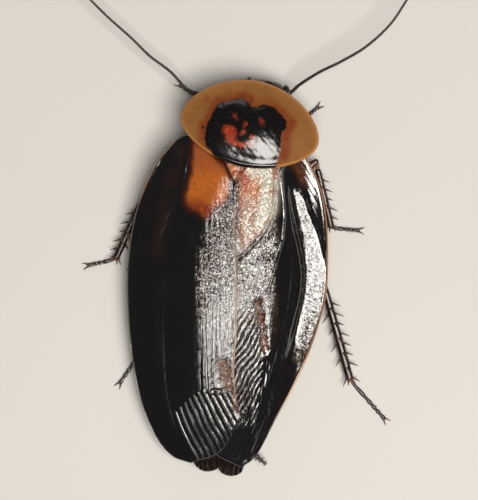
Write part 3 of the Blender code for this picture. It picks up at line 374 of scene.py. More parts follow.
def patch(base, rear, outer, inner, along, across):
    """The points of a patch whose four sides are the given curves."""
    along, across = np.broadcast_arrays(along, across)
    u, v = along[..., None], across[..., None]
    sides = outer(along) * (1 - v) + inner(along) * v + base(across) * (1 - u) + rear(across) * u
    near = outer(0) * (1 - u) * (1 - v) + inner(0) * (1 - u) * v
    return sides - near - outer(1) * u * (1 - v) - inner(1) * u * v


def ring_faces(rows, columns, closed):
    """Quads between rows of points; a closed row joins its end to its start."""
    index = np.arange(rows * columns).reshape(rows, columns)
    if closed:
        index = np.concatenate([index, index[:, :1]], axis=1)
    return np.stack([index[:-1, :-1], index[:-1, 1:], index[1:, 1:], index[1:, :-1]], axis=-1).reshape(-1, 4)


def corners(faces):
    """Faces as lists of corners; a triangle repeats its last corner."""
    return [face[:3] if face[2] == face[3] else face for face in faces.tolist()]


def with_poles(values):
    """The values of a loft's rings, with one more for the point at each end."""
    values = np.ravel(values)
    return np.concatenate([values, values[:1], values[-1:]])


def squareness(angle, power):
    """How far a rounded square reaches at each angle; a circle where the power is 2."""
    return (np.abs(np.cos(angle)) ** power + np.abs(np.sin(angle)) ** power) ** (-1 / power)


def face_out(points, faces):
    """Turns the faces of a closed form round where they point inwards."""
    a, b, c, d = (points[faces[:, corner]] for corner in range(4))
    volume = np.einsum("ij,ij->", a, np.cross(b, c)) + np.einsum("ij,ij->", a, np.cross(c, d))
    if volume < 0:
        flat = faces[:, 2] == faces[:, 3]
        faces = faces[:, ::-1].copy()
        faces[flat] = faces[flat][:, [1, 2, 3, 3]]
    return faces


def closed_loft(rings):
    """A closed skin through rings of equal count, with a point at each end."""
    rows, columns, _ = rings.shape
    points = np.concatenate([rings.reshape(-1, 3), [rings[0].mean(0), rings[-1].mean(0)]])
    faces = [ring_faces(rows, columns, True)]
    for pole, first, turn in ((rows * columns, 0, 1), (rows * columns + 1, (rows - 1) * columns, -1)):
        edge = first + np.arange(columns)
        near, far = (edge, np.roll(edge, -1))[::turn]
        faces.append(np.stack([far, near, np.full(columns, pole), np.full(columns, pole)], axis=-1))
    return points, face_out(points, np.concatenate(faces))


def closed_plate(top, under):
    """A closed thin plate between two grids of points."""
    rows, columns = top.shape[:2]
    index = np.arange(rows * columns).reshape(rows, columns)
    points = np.concatenate([top.reshape(-1, 3), under.reshape(-1, 3)])
    faces = ring_faces(rows, columns, False)
    edge = np.concatenate([index[0, :-1], index[:-1, -1], index[-1, :0:-1], index[:0:-1, 0]])
    beyond = np.roll(edge, -1)
    side = np.stack([beyond, edge, edge + rows * columns, beyond + rows * columns], axis=-1)
    return points, face_out(points, np.concatenate([faces, faces[:, ::-1] + rows * columns, side]))


class Skin:
    """Closed forms gathered into the mesh of one piece, with the flows of numbers that its finishes read."""

    def __init__(self):
        self.points, self.faces, self.finish, self.flows, self.count = [], [], [], [], 0

    def add(self, form, finish=0, **flows):
        points, faces = form
        self.points.append(points)
        self.faces.append(faces + self.count)
        self.finish.append(np.full(len(faces), finish))
        self.flows.append((len(points), flows))
        self.count += len(points)

    def make(self, name, finishes, nodes, slot_name, extras=()):
        """The finished piece, riding on the frame in place of its CAD nodes. Extras are pieces whose meshes
        join it."""
        faces = np.concatenate(self.faces)
        data = bpy.data.meshes.new(name)
        places = (np.concatenate(self.points) + SHIFT) * MM
        data.from_pydata(places.tolist(), [], corners(faces))
        data.shade_smooth()
        for finish in finishes:
            data.materials.append(finish)
        data.polygons.foreach_set("material_index", np.concatenate(self.finish).astype(np.int32))
        for key in sorted({key for _, flows in self.flows for key in flows}):
            parts = [flows.get(key) for _, flows in self.flows]
            wide = max(np.ndim(part) for part in parts if part is not None) > 1
            filled = [np.broadcast_to(0.0 if part is None else part, (size, 3) if wide else (size,))
                      for (size, _), part in zip(self.flows, parts)]
            flow = data.attributes.new(key, "FLOAT_VECTOR" if wide else "FLOAT", "POINT")
            flow.data.foreach_set("vector" if wide else "value",
                                  np.concatenate(filled).ravel().astype(np.float32))
        item = bpy.data.objects.new(name, data)
        bpy.context.scene.collection.objects.link(item)
        join_meshes(item, extras)
        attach(item, "root")
        if nodes:
            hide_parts(*nodes)
        return item


def join_meshes(item, extras):
    """Adds the meshes of other objects to an item's own, and removes those objects."""
    if not extras:
        return
    mesh = bmesh.new()
    mesh.from_mesh(item.data)
    for extra in extras:
        before = len(mesh.faces)
        mesh.from_mesh(extra.data)
        mesh.faces.ensure_lookup_table()
        finishes = list(extra.data.materials)
        for face in mesh.faces[before:]:
            face.material_index = item.data.materials.find(finishes[face.material_index].name)
            face.smooth = True
    mesh.to_mesh(item.data)
    mesh.free()
    for extra in extras:
        bpy.data.objects.remove(extra, do_unlink=True)


def feed(target, inputs):
    """Sets a node's inputs; each takes a plain value or the output that feeds it."""
    for name, value in dict(inputs).items():
        if isinstance(value, bpy.types.NodeSocket):
            target.id_data.links.new(value, target.inputs[name])
        else:
            target.inputs[name].default_value = value


def node(tree, kind, inputs=(), output=0, **settings):
    """Adds a node with its settings and links, and gives one of its outputs."""
    made = tree.nodes.new(kind)
    for name, value in settings.items():
        setattr(made, name, value)
    feed(made, inputs)
    return made.outputs[output]


class Finish:
    """A material in the making. Calling it adds a shader node; here is the place on the object in mm."""

    def __init__(self, name):
        self.material = bpy.data.materials.new(name)
        self.material.use_nodes = True
        self.here = self("Mapping", {"Vector": self("TexCoord", output="Object"), "Scale": (1 / MM,) * 3})

    def __call__(self, kind, inputs=(), output=0, **settings):
        return node(self.material.node_tree, "ShaderNode" + kind, inputs, output, **settings)

    def coats(self, first, *layers):
        """Coats of colour laid over a first one: each is where it lies, the values at which it starts and is
        full, and its colour."""
        for where, start, full, colour in layers:
            share = self("MapRange", {"Value": where, "From Min": start, "From Max": full},
                         interpolation_type="SMOOTHSTEP")
            first, colour = ((*part, 1.0) if isinstance(part, tuple) else part for part in (first, colour))
            first = self("Mix", {0: share, 6: first, 7: colour}, 2, data_type="RGBA")
        return first

    def relief(self, *heights, normal=None):
        """Raised texture: each is a height of 0 to 1 and how many mm tall 1 stands. It may start from
        another normal."""
        normal = {"Normal": normal} if normal else {}
        for height, tall in heights:
            normal = {"Normal": self("Bump", {"Height": height, "Distance": tall * MM, "Strength": 1.0,
                                              **normal})}
        return normal

    def done(self, inputs):
        feed(self.material.node_tree.nodes["Principled BSDF"], inputs)
        return self.material


def shade(colour, by):
    """A colour made darker or lighter by a factor."""
    return tuple(min(part * by, 1.0) for part in colour)


def shield_horn(colours):
    """Horn-like cuticle, moulded smooth: satin tan with faint fibres that run out to the rim, a painted
    highlight of lighter tan on the rim, a glossy black blotch with bluish specks painted as glints, and
    lacquer-red marks."""
    add = Finish("shield_horn")
    tan, orange = tuple(colours.shield_tan), tuple(colours.shield_orange)
    black, red = tuple(colours.blotch_black), tuple(colours.mark_red)
    warmth, rim, stain, ember, blotch = (add("Attribute", output="Fac", attribute_name=name)
                                         for name in ("warmth", "rim", "stain", "ember", "blotch"))
    lie = add("Attribute", output="Vector", attribute_name="lie")
    fibre = add("Mapping", {"Vector": lie, "Scale": (3.4, 0.5, 1.0)})
    fibre = add("TexNoise", {"Vector": fibre, "Scale": 1.0, "Detail": 2.0})
    # Swells of tone 2 mm wide, specks of 0.3 mm and wandering edges of about 0.8 mm.
    mottle, speck, wander, patchy = (
        add("TexNoise", {"Vector": add.here, "Scale": scale, "Detail": detail, "Roughness": rough})
        for scale, detail, rough in ((0.5, 4.0, 0.5), (3.2, 2.0, 0.7), (1.3, 4.0, 0.6), (1.1, 3.0, 0.5)))
    net = add("TexVoronoi", {"Vector": add.here, "Scale": 2.6}, feature="DISTANCE_TO_EDGE")
    warm = add.coats(shade(orange, 0.75), (fibre, 0.3, 0.7, orange))
    margin = add.coats(shade(tan, 0.9), (fibre, 0.3, 0.75, shade(tan, 1.1)),
                       (mottle, 0.58, 0.9, shade(orange, 1.1)), (speck, 0.64, 0.8, shade(tan, 0.7)),
                       # The lighter tan on the rolled rim is a painted highlight.
                       (warmth, 0.0, 1.0, warm), (rim, 0.0, 1.0, shade(tan, 1.7)),
                       (stain, 0.0, 1.0, shade(orange, 0.2)))
    glow = add.coats(shade(red, 0.5), (speck, 0.35, 0.65, shade(red, 1.2)))
    broken = add("MapRange", {"Value": patchy, "From Min": 0.3, "From Max": 0.5, "To Min": 0.3,
                              "To Max": 1.1})
    burning = add("Math", {0: broken, 1: ember}, operation="MULTIPLY")
    # The bluish-grey specks in the blotch are painted glints.
    dark = add.coats(black, (speck, 0.62, 0.7, linear("#2A2C30")), (burning, 0.2, 0.9, glow))
    depth = add("Math", {0: wander, 1: 0.7, 2: blotch}, operation="MULTIPLY_ADD")
    inside = add("MapRange", {"Value": depth, "From Min": 0.2, "From Max": 0.5})
    grain, swell = (add("Math", {0: inside, 1: height}, operation="MULTIPLY") for height in (net, wander))
    satin = add("MapRange", {"Value": inside, "To Min": 0.68, "To Max": 0.17})
    roughness = add("Math", {0: rim, 1: -0.38, 2: satin}, operation="MULTIPLY_ADD")
    return add.done({"Base Color": add.coats(margin, (inside, 0.0, 1.0, dark)), "Roughness": roughness,
                     "IOR": 1.55, "Specular IOR Level": 0.22, "Coat Weight": inside, "Coat Roughness": 0.17,
                     "Coat IOR": 1.5, **add.relief((fibre, 0.01), (grain, 0.024), (swell, 0.024))})


def forewing_leather(colours, sizes):
    """Leathery forewing cuticle over a net of veins, black and glossy, amber at its base, with a pale stain
    on the right clavus that is partly its pale tan and partly a painted highlight. Where its net is raised it
    breaks every highlight into silver grains, and a lighter grey-brown is painted there as sheen."""
    add = Finish("forewing_leather")
    black, amber, cream = tuple(colours.wing_black), tuple(colours.wing_amber), tuple(colours.wing_cream_and_sheen)
    flow = {name: add("Attribute", output="Fac", attribute_name=name)
            for name in ("netted", "matt", "glow", "amber", "cream", "rust", "brown", "edge", "streaked",
                         "ridge", "ridged")}
    lie = add("Attribute", output="Vector", attribute_name="lie")
    across, along = (add("SeparateXYZ", {0: lie}, axis) for axis in "XY")
    # The real net has cells of about 0.25 mm in slanting rows; drawn a little coarser so that its grain
    # shows.
    cell = sizes.net_cell / MM
    zigzag = add("Math", {0: across, 1: 0.45}, operation="PINGPONG")
    slant = add("Math", {0: zigzag, 1: 0.8, 2: along}, operation="MULTIPLY_ADD")
    rows = add("CombineXYZ", {0: across, 1: slant})
    rows = add("Mapping", {"Vector": rows, "Scale": (0.8 / cell, 1.2 / cell, 1.0)})
    net = add("TexVoronoi", {"Vector": rows, "Scale": 1.0}, feature="DISTANCE_TO_EDGE")
    facing = add("TexVoronoi", {"Vector": rows, "Scale": 1.0}, "Color")
    mottle, fleck, wander = (
        add("TexNoise", {"Vector": lie, "Scale": scale, "Detail": detail, "Roughness": rough})
        for scale, detail, rough in ((0.35, 4.0, 0.5), (1.6, 4.0, 0.6), (0.5, 3.0, 0.5)))
    brown = add.coats(linear("#3A1A06"), (fleck, 0.2, 0.8, linear("#7A4210")))
    rust = add.coats(linear("#7E2C04"), (fleck, 0.3, 0.7, linear("#C0560C")))
    # The pale stain of the right clavus: partly its pale tan, partly a painted highlight.
    pale = add.coats(shade(cream, 0.85), (fleck, 0.3, 0.7, cream), (net, 0.14, 0.0, shade(cream, 0.45)))
    warm = add.coats(amber, (flow["glow"], 0.35, 0.8, linear("#9C5028")),
                     (flow["glow"], 0.12, -0.2, linear("#7A2C12")), (wander, 0.55, 0.3, shade(amber, 0.8)),
                     (fleck, 0.42, 0.72, shade(amber, 0.66)))
    depth = add("Math", {0: wander, 1: 1.2, 2: flow["amber"]}, operation="MULTIPLY_ADD")
    coloured = add.coats(black, (mottle, 0.35, 0.7, shade(black, 1.4)),
                         # The grey-brown where the net stands up is a painted sheen.
                         (flow["netted"], 0.2, 1.0, linear("#362A22")), (flow["brown"], 0.0, 1.0, brown),
                         (depth, -0.2, 0.9, linear("#3A1006")), (depth, 0.5, 1.5, warm),
                         # The pale stain laid here is partly a painted highlight.
                         (flow["cream"], 0.0, 1.0, pale), (flow["rust"], 0.0, 1.0, rust),
                         # The tan line along the edges is partly the margin's own colour and partly a painted
                         # highlight on the rim.
                         (flow["edge"], 0.0, 1.0, linear("#A8713C")))
    # Each cell of the net faces its own way, which scatters the light.
    tilt = add("VectorMath", {0: facing, 1: (0.5, 0.5, 0.5)}, operation="SUBTRACT")
    strength = add("Math", {0: flow["netted"], 1: NET_SCATTER}, operation="MULTIPLY")
    tilt = add("VectorMath", {0: tilt, "Scale": strength}, operation="SCALE")
    turned = add("VectorMath", {0: add("NewGeometry", output="Normal"), 1: tilt}, operation="ADD")
    turned = add("VectorMath", {0: turned}, operation="NORMALIZE")
    cells = add("MapRange", {"Value": net, "From Max": 0.25}, interpolation_type="SMOOTHSTEP")
    # The long wrinkles of the inner half lie about 0.45 mm apart.
    wrinkle = add("Mapping", {"Vector": lie, "Rotation": (0.0, 0.0, math.radians(-5)),
                              "Scale": (2.4, 0.12, 1.0)})
    wrinkle = add("TexNoise", {"Vector": wrinkle, "Scale": 1.0, "Detail": 2.0, "Roughness": 0.6})
    # A thin line runs along each rear ridge.
    line = add("Math", {0: flow["ridge"], 1: 0.5}, operation="PINGPONG")
    line = add("MapRange", {"Value": line, "From Min": 0.18, "From Max": 0.0},
               interpolation_type="SMOOTHSTEP")
    grain, wrinkle, line = (add("Math", {0: height, 1: flow[place]}, operation="MULTIPLY")
                            for height, place in ((cells, "netted"), (wrinkle, "streaked"), (line, "ridged")))
    roughness = add("MapRange", {"Value": flow["matt"], "To Min": 0.13, "To Max": 0.9})
    return add.done({"Base Color": coloured, "Roughness": roughness, "IOR": 1.64, "Specular IOR Level": 1.0,
                     **add.relief((grain, 0.02), (fleck, 0.003), (wrinkle, 0.13), (line, 0.12),
                                  normal=turned)})


def smoky_membrane(colours):
    """Hind-wing membrane, paper thin and pleated: smoky dark brown and shiny, with painted shade in the
    valleys of its pleats.
    """
    add = Finish("smoky_membrane")
    smoke = tuple(colours.membrane_smoke)
    lie = add("Attribute", output="Vector", attribute_name="lie")
    mottle = add("TexNoise", {"Vector": lie, "Scale": 0.7, "Detail": 4.0})
    stretched = add("Mapping", {"Vector": lie, "Scale": (1.8, 0.8, 1.0)})
    net = add("TexVoronoi", {"Vector": stretched, "Scale": 1.0}, feature="DISTANCE_TO_EDGE")
    fold = add("Attribute", output="Fac", attribute_name="fold")
    # Where the fold flow is full, in the valleys of the pleats, the darker brown is painted shade.
    colour = add.coats(shade(smoke, 0.5), (mottle, 0.3, 0.7, smoke), (fold, 0.0, 1.0, shade(smoke, 0.3)),
                       (net, 0.08, 0.0, shade(smoke, 0.4)))
    return add.done({"Base Color": colour, "Roughness": 0.22, "IOR": 1.56, "Coat Weight": 0.2,
                     "Coat Roughness": 0.12, **add.relief((mottle, 0.06), (net, 0.03))})


def cuticle(name, hex_dark, hex_light, roughness, pit=0.12, relief=0.02):
    """Shell plate cuticle: smooth, waxy and finely pitted, mottled between two browns and darker along its
    edges."""
    add = Finish(name)
    dark, light = linear(hex_dark), linear(hex_light)
    mottle = add("TexNoise", {"Vector": add.here, "Scale": 0.8, "Detail": 4.0})
    grain = add("TexNoise", {"Vector": add.here, "Scale": 3.0, "Detail": 4.0})
    pits = add("TexVoronoi", {"Vector": add.here, "Scale": 1 / (2 * pit)})
    edge = add("Attribute", output="Fac", attribute_name="edge")
    colour = add.coats(dark, (mottle, 0.3, 0.7, light), (edge, 0.0, 1.0, shade(dark, 0.5)),
                       (pits, 0.25, 0.0, shade(dark, 0.6)))
    rough = add("MapRange", {"Value": mottle, "From Min": 0.3, "From Max": 0.7,
                             "To Min": roughness - 0.05, "To Max": roughness + 0.08})
    dents = add("MapRange", {"Value": pits, "From Min": 0.05, "From Max": 0.4})
    return add.done({"Base Color": colour, "Roughness": rough, "Coat Weight": 0.2, "Coat Roughness": 0.2,
                     "IOR": 1.55, **add.relief((grain, relief * 0.5), (dents, relief * 0.6))})


def soft_skin(name):
    """Arthrodial membrane, the soft skin between plates: pale brown, matt and finely creased, with painted
    shade in its creases.
    """
    add = Finish(name)
    tone = add("TexNoise", {"Vector": add.here, "Scale": 0.9, "Detail": 3.0})
    crease = add("TexNoise", {"Vector": add.here, "Scale": 4.0, "Detail": 4.0, "Roughness": 0.6})
    # The darker brown where the creases sink is painted shade.
    colour = add.coats(linear("#6E4E34"), (tone, 0.3, 0.7, linear("#8E6A48")),
                       (crease, 0.45, 0.25, linear("#5E4029")))
    return add.done({"Base Color": colour, "Roughness": 0.55, "IOR": 1.45, **add.relief((crease, 0.035))})


def eye_lens():
    """Cornea of a compound eye, clear and wet-looking over black: every facet throws its own glint."""
    add = Finish("eye_lens")
    sheen = add("TexNoise", {"Vector": add.here, "Scale": 1.4, "Detail": 2.0})
    return add.done({"Base Color": add.coats(linear("#070606"), (sheen, 0.3, 0.7, linear("#1C1412"))),
                     "Roughness": 0.12, "IOR": 1.5, "Coat Weight": 0.6, "Coat Roughness": 0.05})


def floor_paint(colours):
    """Matt backdrop paint, rolled on: pale and even, with a faint unevenness so that it isn't a flat fill."""
    add = Finish("pale_floor")
    pale = tuple(colours.floor_pale)
    drift = add("TexNoise", {"Vector": add.here, "Scale": 0.009, "Detail": 2.0})
    return add.done({"Base Color": add.coats(shade(pale, 0.97), (drift, 0.3, 0.7, pale)), "Roughness": 0.85})


class CockroachStep:
    """One step of the build: execute runs it, and an error in it stops the script."""

    bl_options = {"REGISTER", "UNDO"}

    def execute(self, context):
        self.build(context.scene.cockroach_sizes, context.scene.cockroach_colours)
        return {"FINISHED"}


def aimed(item, target):
    """Turns a lamp where it stands towards the target."""
    away = item.location - Vector(target)
    item.rotation_euler = away.to_track_quat("Z", "Y").to_euler()


# The camera looks straight down from 300 mm, turned as the photograph is. 0.145 mm to a pixel 5 mm over the
# floor gives its lens.
CAMERA_PLACE = (1.42, 9.99, 300.0)
CAMERA_TURN = math.radians(4.1)
PHOTO_LONG_SIDE = 500
MM_PER_PIXEL = 0.145
SENSOR = 36.0
FLOOR_REACH = 1.2
SKY_STRENGTH = 0.07
# Lamps: how far each leans for every 1 up, its size and distance in mm, and its power in W.
LAMPS = [
    ("key_softbox", (math.tan(math.radians(12.5)), -math.tan(math.radians(10))), (250.0, 320.0), 520.0, 3.3),
    ("front_fill", (-0.6, 3.4), (380.0, 380.0), 700.0, 0.5),
]


class COCKROACH_OT_stage(CockroachStep, bpy.types.Operator):
    """Sets up the pale floor, the soft studio light and the camera"""

    bl_idname = "cockroach.stage"
    bl_label = "Stage"

    def build(self, sizes, colours):
        scene = bpy.context.scene
        floor_data = bpy.data.meshes.new("floor")
        edge = FLOOR_REACH
        corner_places = [(-edge, -edge, 0), (edge, -edge, 0), (edge, edge, 0), (-edge, edge, 0)]
        floor_data.from_pydata(corner_places, [], [(0, 1, 2, 3)])
        floor = bpy.data.objects.new("floor", floor_data)
        floor_data.materials.append(floor_paint(colours))
        scene.collection.objects.link(floor)
        world = bpy.data.worlds.new("studio")
        scene.world = world
        world.use_nodes = True
        background = world.node_tree.nodes["Background"]
        background.inputs["Color"].default_value = (*linear("#F4F6FA"), 1)
        background.inputs["Strength"].default_value = SKY_STRENGTH
        centre = (np.array((CAMERA_PLACE[0], 4.0, 6.0)) + SHIFT) * MM
        for name, lean, size, distance, power in LAMPS:
            lamp_data = bpy.data.lights.new(name, "AREA")
            lamp_data.shape = "RECTANGLE"
            lamp_data.size, lamp_data.size_y = size[0] * MM, size[1] * MM
            lamp_data.energy = power
            lamp_data.color = linear("#FFFAF3")
            lamp = bpy.data.objects.new(name, lamp_data)
            lamp.location = Vector(centre) + Vector((*lean, 1.0)).normalized() * distance * MM
            aimed(lamp, centre)
            scene.collection.objects.link(lamp)
        camera_data = bpy.data.cameras.new("camera")
        camera_data.sensor_width = SENSOR
        camera_data.lens = SENSOR * (CAMERA_PLACE[2] - 5) / MM_PER_PIXEL / PHOTO_LONG_SIDE
        camera_data.clip_start = 0.01
        camera = bpy.data.objects.new("camera", camera_data)
        camera.location = (np.array(CAMERA_PLACE) + SHIFT) * MM
        camera.rotation_euler = (0, 0, CAMERA_TURN)
        scene.collection.objects.link(camera)
        scene.camera = camera
        scene.view_settings.view_transform = "Standard"


def shield_rings(rim_height):
    """Rings over the shield's top from its middle out and back beneath it, and each point's place in plan,
    turn round the shield and distance from its edge."""
    shares = np.concatenate([np.linspace(0.02, 0.9, 60),
                             0.9 + 0.1 * np.sin(np.linspace(0.05, 1, 26) * math.pi / 2)])
    angle = np.linspace(0, 2 * math.pi, SHIELD_SIDES, endpoint=False)[None, :]
    reach = squareness(angle, SHIELD_POWER)
    length = np.where(np.sin(angle) > 0, SHIELD_FRONT, SHIELD_REAR)
    rings, values = [], []
    for face, order in ((1, shares), (-1, shares[::-1])):
        share = order[:, None]
        across = SHIELD_HALF_WIDTH * share * reach * np.cos(angle)
        forward = length * share * reach * np.sin(angle)
        x, y, z = np.moveaxis(shield_place(across, forward, SHIELD_THICKNESS / 2 - SHIELD_TOP), -1, 0)
        from_edge = (1 - share) * reach * np.hypot(SHIELD_HALF_WIDTH * np.cos(angle), length * np.sin(angle))
        rounding = 1 - (1 - np.clip(from_edge / SHIELD_EDGE_RADIUS, 0, 1)) ** 2
        z = z + face * SHIELD_THICKNESS / 2 * np.sqrt(np.clip(rounding, 0.004, 1))
        if face > 0:
            fade = ramp(from_edge, 0, 2.5)
            z = z + rim_height * crest(from_edge - 0.42, 0.26) - 0.05 * crest(from_edge - 1.3, 0.5)
            z = z + fade * (0.05 * ripple(x, y, 2.4, 11) + 0.012 * ripple(x, y, 0.5, 12))
            # The left part falls away a little, which keeps the light on the right part alone.
            z = z + fade * (0.085 * np.clip(x - 3.0, -3.1, 0) - 0.05 * crest(inside_by(x, y, BLOTCH), 0.45))
        rings.append(np.stack([x, y, z], axis=-1))
        values.append(np.stack([x, y, angle * 9 + 0 * x, from_edge]))
    return np.concatenate(rings), np.concatenate(values, axis=1)


class COCKROACH_OT_shield(CockroachStep, bpy.types.Operator):
    """Builds the shield: a thin domed plate with a rolled rim, its blotch and marks"""

    bl_idname = "cockroach.shield"
    bl_label = "Shield"

    def build(self, sizes, colours):
        rings, values = shield_rings(sizes.rim_height / MM)
        x, y, turn, from_edge = (with_poles(value) for value in values)
        inner = inside_by(x, y, BLOTCH)
        warmth = ramp(inner, -2.0, -0.1) * (0.8 + 0.35 * ripple(x, y, 3, 15))
        ember = stained(x + 0.12 * ripple(x, y, 0.7, 13), y + 0.12 * ripple(x, y, 0.7, 16), MARKS)
        stain = ramp(off_stroke(x, y, SMALL_STAIN) + 0.1 * ripple(x, y, 0.7, 14), 0.32, 0.1)
        skin = Skin()
        skin.add(closed_loft(rings), lie=np.stack([turn, from_edge, 0 * turn], axis=-1), blotch=inner,
                 warmth=np.maximum(warmth, stained(x, y, WARM_EDGE)).clip(0, 1),
                 # The rim flow carries the rim's gloss and a painted highlight.
                 rim=ramp(from_edge, 0.55, 0.25), ember=ember, stain=stain)
        skin.make("shield", [shield_horn(colours)], ["pronotum"], "shield")


def rear_ridges(side, x, y):
    """Slanting ridges on the rear of the left forewing and creases on the right one: their count across, one
    to each whole step, and how much they stand up."""
    plain = 1 - stained(x, y, BROWN[side])
    if side == LEFT:
        slanted = x + (0.6 + 0.025 * x) * (y + 14.0) + 0.08 * ripple(x, y, 2.5, 25)
        raised = ramp(spline(REAR_FOLD)(x) - y, 0.0, 0.8) * ramp(x + 0.534 * (y + 13.75), -6.8, -6.0)
        return slanted / 0.95 + 0.3, raised * plain
    slanted = x - 0.55 * (y + 10.0) + 0.32 * ripple(x, y, 3.5, 26)
    return slanted / 0.85, -ramp(y, 3.0, -2.0) * ramp(y, -16.0, -12.5) * ramp(x, 6.2, 5.0) * plain


def forewing_plan(side):
    """Shares along and across a forewing, the place in plan of each, and the wing's width there."""
    outer, inner = route(OUTER_MARGIN[side]), route(INNER_MARGIN[side])
    base = route([OUTER_MARGIN[side][0], *WING_BASE[side], INNER_MARGIN[side][0]])
    ends = np.array((OUTER_MARGIN[side][-1], INNER_MARGIN[side][-1]))
    bend = ends.mean(0) - np.array((side * WING_TIP_BEND[0], WING_TIP_BEND[1]))
    u, v = np.meshgrid(np.linspace(0, 1, WING_ROWS), np.linspace(0, 1, WING_COLUMNS), indexing="ij")
    plan = patch(base, route([ends[0], bend, ends[1]]), outer, inner, u, v)
    width = np.linalg.norm(plan[:, 0] - plan[:, -1], axis=1)[:, None] + 0 * v
    return u, v, plan[..., 0], plan[..., 1], width


def forewing_veins(side, u, v, x, y, width):
    """The veins and rear ridges of a forewing, as shares of the vein height."""
    radius = spline(RADIUS_VEIN)(u)
    costal = (v < radius) * ramp(v * width, 0.3, 0.9) * ramp((radius - v) * width, 0.1, 0.6)
    discal = ramp((v - radius) * width, 0.2, 0.7) * ramp(inside_by(x, y, CLAVUS[side]), 0.1, -0.5)
    branch = (u * WING_LENGTH - (radius - v) * width * 1.8) / COSTAL_BRANCH_SPACING
    fan = (v - radius) / (1 - radius) * DISCAL_VEINS + 0.16 * np.sin(u * 23)
    fan_spacing = (1 - radius) * width / DISCAL_VEINS
    count, raised = rear_ridges(side, x, y)
    return (0.16 * costal * comb(branch, COSTAL_BRANCH_SPACING * 0.48, 0.12)
            + discal * comb(fan, fan_spacing, 0.13) * (0.06 * ramp(v, 0.34, 0.44) + 0.04)
            + raised * (0.6 * comb(count, 0.8, 0.26) if side == LEFT else 1.2 * comb(count, 0.7, 0.14))
            + 0.4 * crest((v - spline(SUBCOSTA)(u)) * width, 0.16) * ramp(u, 0.38, 0.3)
            + 0.8 * crest((v - radius) * width, 0.22) * ramp(u, 1.0, 0.8)
            + MAIN_VEIN_RISE[side] * crest(off_stroke(x, y, MAIN_VEIN[side]), 0.15) * ramp(u, 0.5, 0.4))


def costal_shelf(side, x, y):
    """How far the flatter shelf along a forewing's outer margin stands off the dome, in mm."""
    share, half = np.moveaxis(spline(SHELF)(y), -1, 0)
    middle = share * dome_half_width(y)
    off = side * x - middle
    level = dome(middle, y) - SHELF_SLOPE * off - dome(x, y)
    return (SHELF_RISE[side] * level * ramp(np.abs(off), half + 1.0, half) * ramp(y, -6.0, -1.0)
            * ramp(y, 21.0, 17.5))


def forewing_folds(side, u, v, x, y, width):
    """The larger forms of a forewing in mm: clavus and furrow, shelf, rolled margin, valleys and crack."""
    clavus = inside_by(x, y, CLAVUS[side])
    furrow = crest(clavus + 0.12, 0.26) * ramp(u, 0.42, 0.36)
    relief = (0.16 * ramp(clavus, -0.1, 1.6) - 0.2 * furrow) * CLAVUS_RISE[side] + costal_shelf(side, x, y)
    relief -= 0.22 * ramp(side * x / dome_half_width(y), 0.76, 0.95) * ramp(y, -2.0, -6.0)
    relief += (0.03 + 0.04 * ramp(u, 0.8, 0.5)) * crest(v * width - 0.3, 0.2)
    relief += 0.03 * ripple(x, y, 3.0, 21) + 0.006 * ripple(x * 1.4, y * 0.7, 0.8, 22)
    if side == RIGHT:
        relief -= 0.26 * crest(off_stroke(x, y, RIDGE_VALLEY), 0.55)
        relief -= 0.3 * ramp(clavus, -0.2, -1.8) * ramp(y, 7.5, 10.5) * ramp(x, 14.5, 8.0)
        return relief - 0.32 * ramp(x, 4.8, 6.4) * ramp(y, -3.4, -6.0)
    relief -= 0.17 * ramp(v * width, width - 3.4, width) * ramp(y, 23.0, 20.2)
    relief -= 0.14 * crest(off_stroke(x, y, CRACK_PATCH), 0.8)
    crack = off_stroke(x, y, CRACK)
    return relief - 0.1 * crest(crack, 0.14) + 0.05 * crest(crack - 0.35, 0.2)


def net_and_sheen_share(side, x, y, stains, streaked):
    """How much of the raised net each place of a forewing shows, which also lays on a painted sheen colour;
    stains show as places that scatter more.
    """
    spread = 0.15 * ripple(x, y, 1.5, 23)
    netted = np.maximum.reduce([ramp(inside_by(x, y, field) + spread, NET_FADE[side], 0.7)
                                for field in NET_AND_SHEEN_FIELDS[side]])
    netted = netted * (1 - 0.5 * streaked) * (1 + stains)
    if side == LEFT:
        return 0.9 * netted
    smooth = 0.6 * crest(np.hypot(x - 4.0, y - 8.4), 1.5)
    clavus = 0.35 * ramp(inside_by(x, y, CLAVUS[side]), -0.2, -1.2) * ramp(y, 9.0, 12.0) * ramp(x, 8.2, 7.4)
    shelf = (0.9 * ramp(y, 2.5, -3.0) - 0.42) * ramp(x, 8.4, 9.2)
    return netted * (1 - smooth) * (1 - clavus) * (1 + shelf)


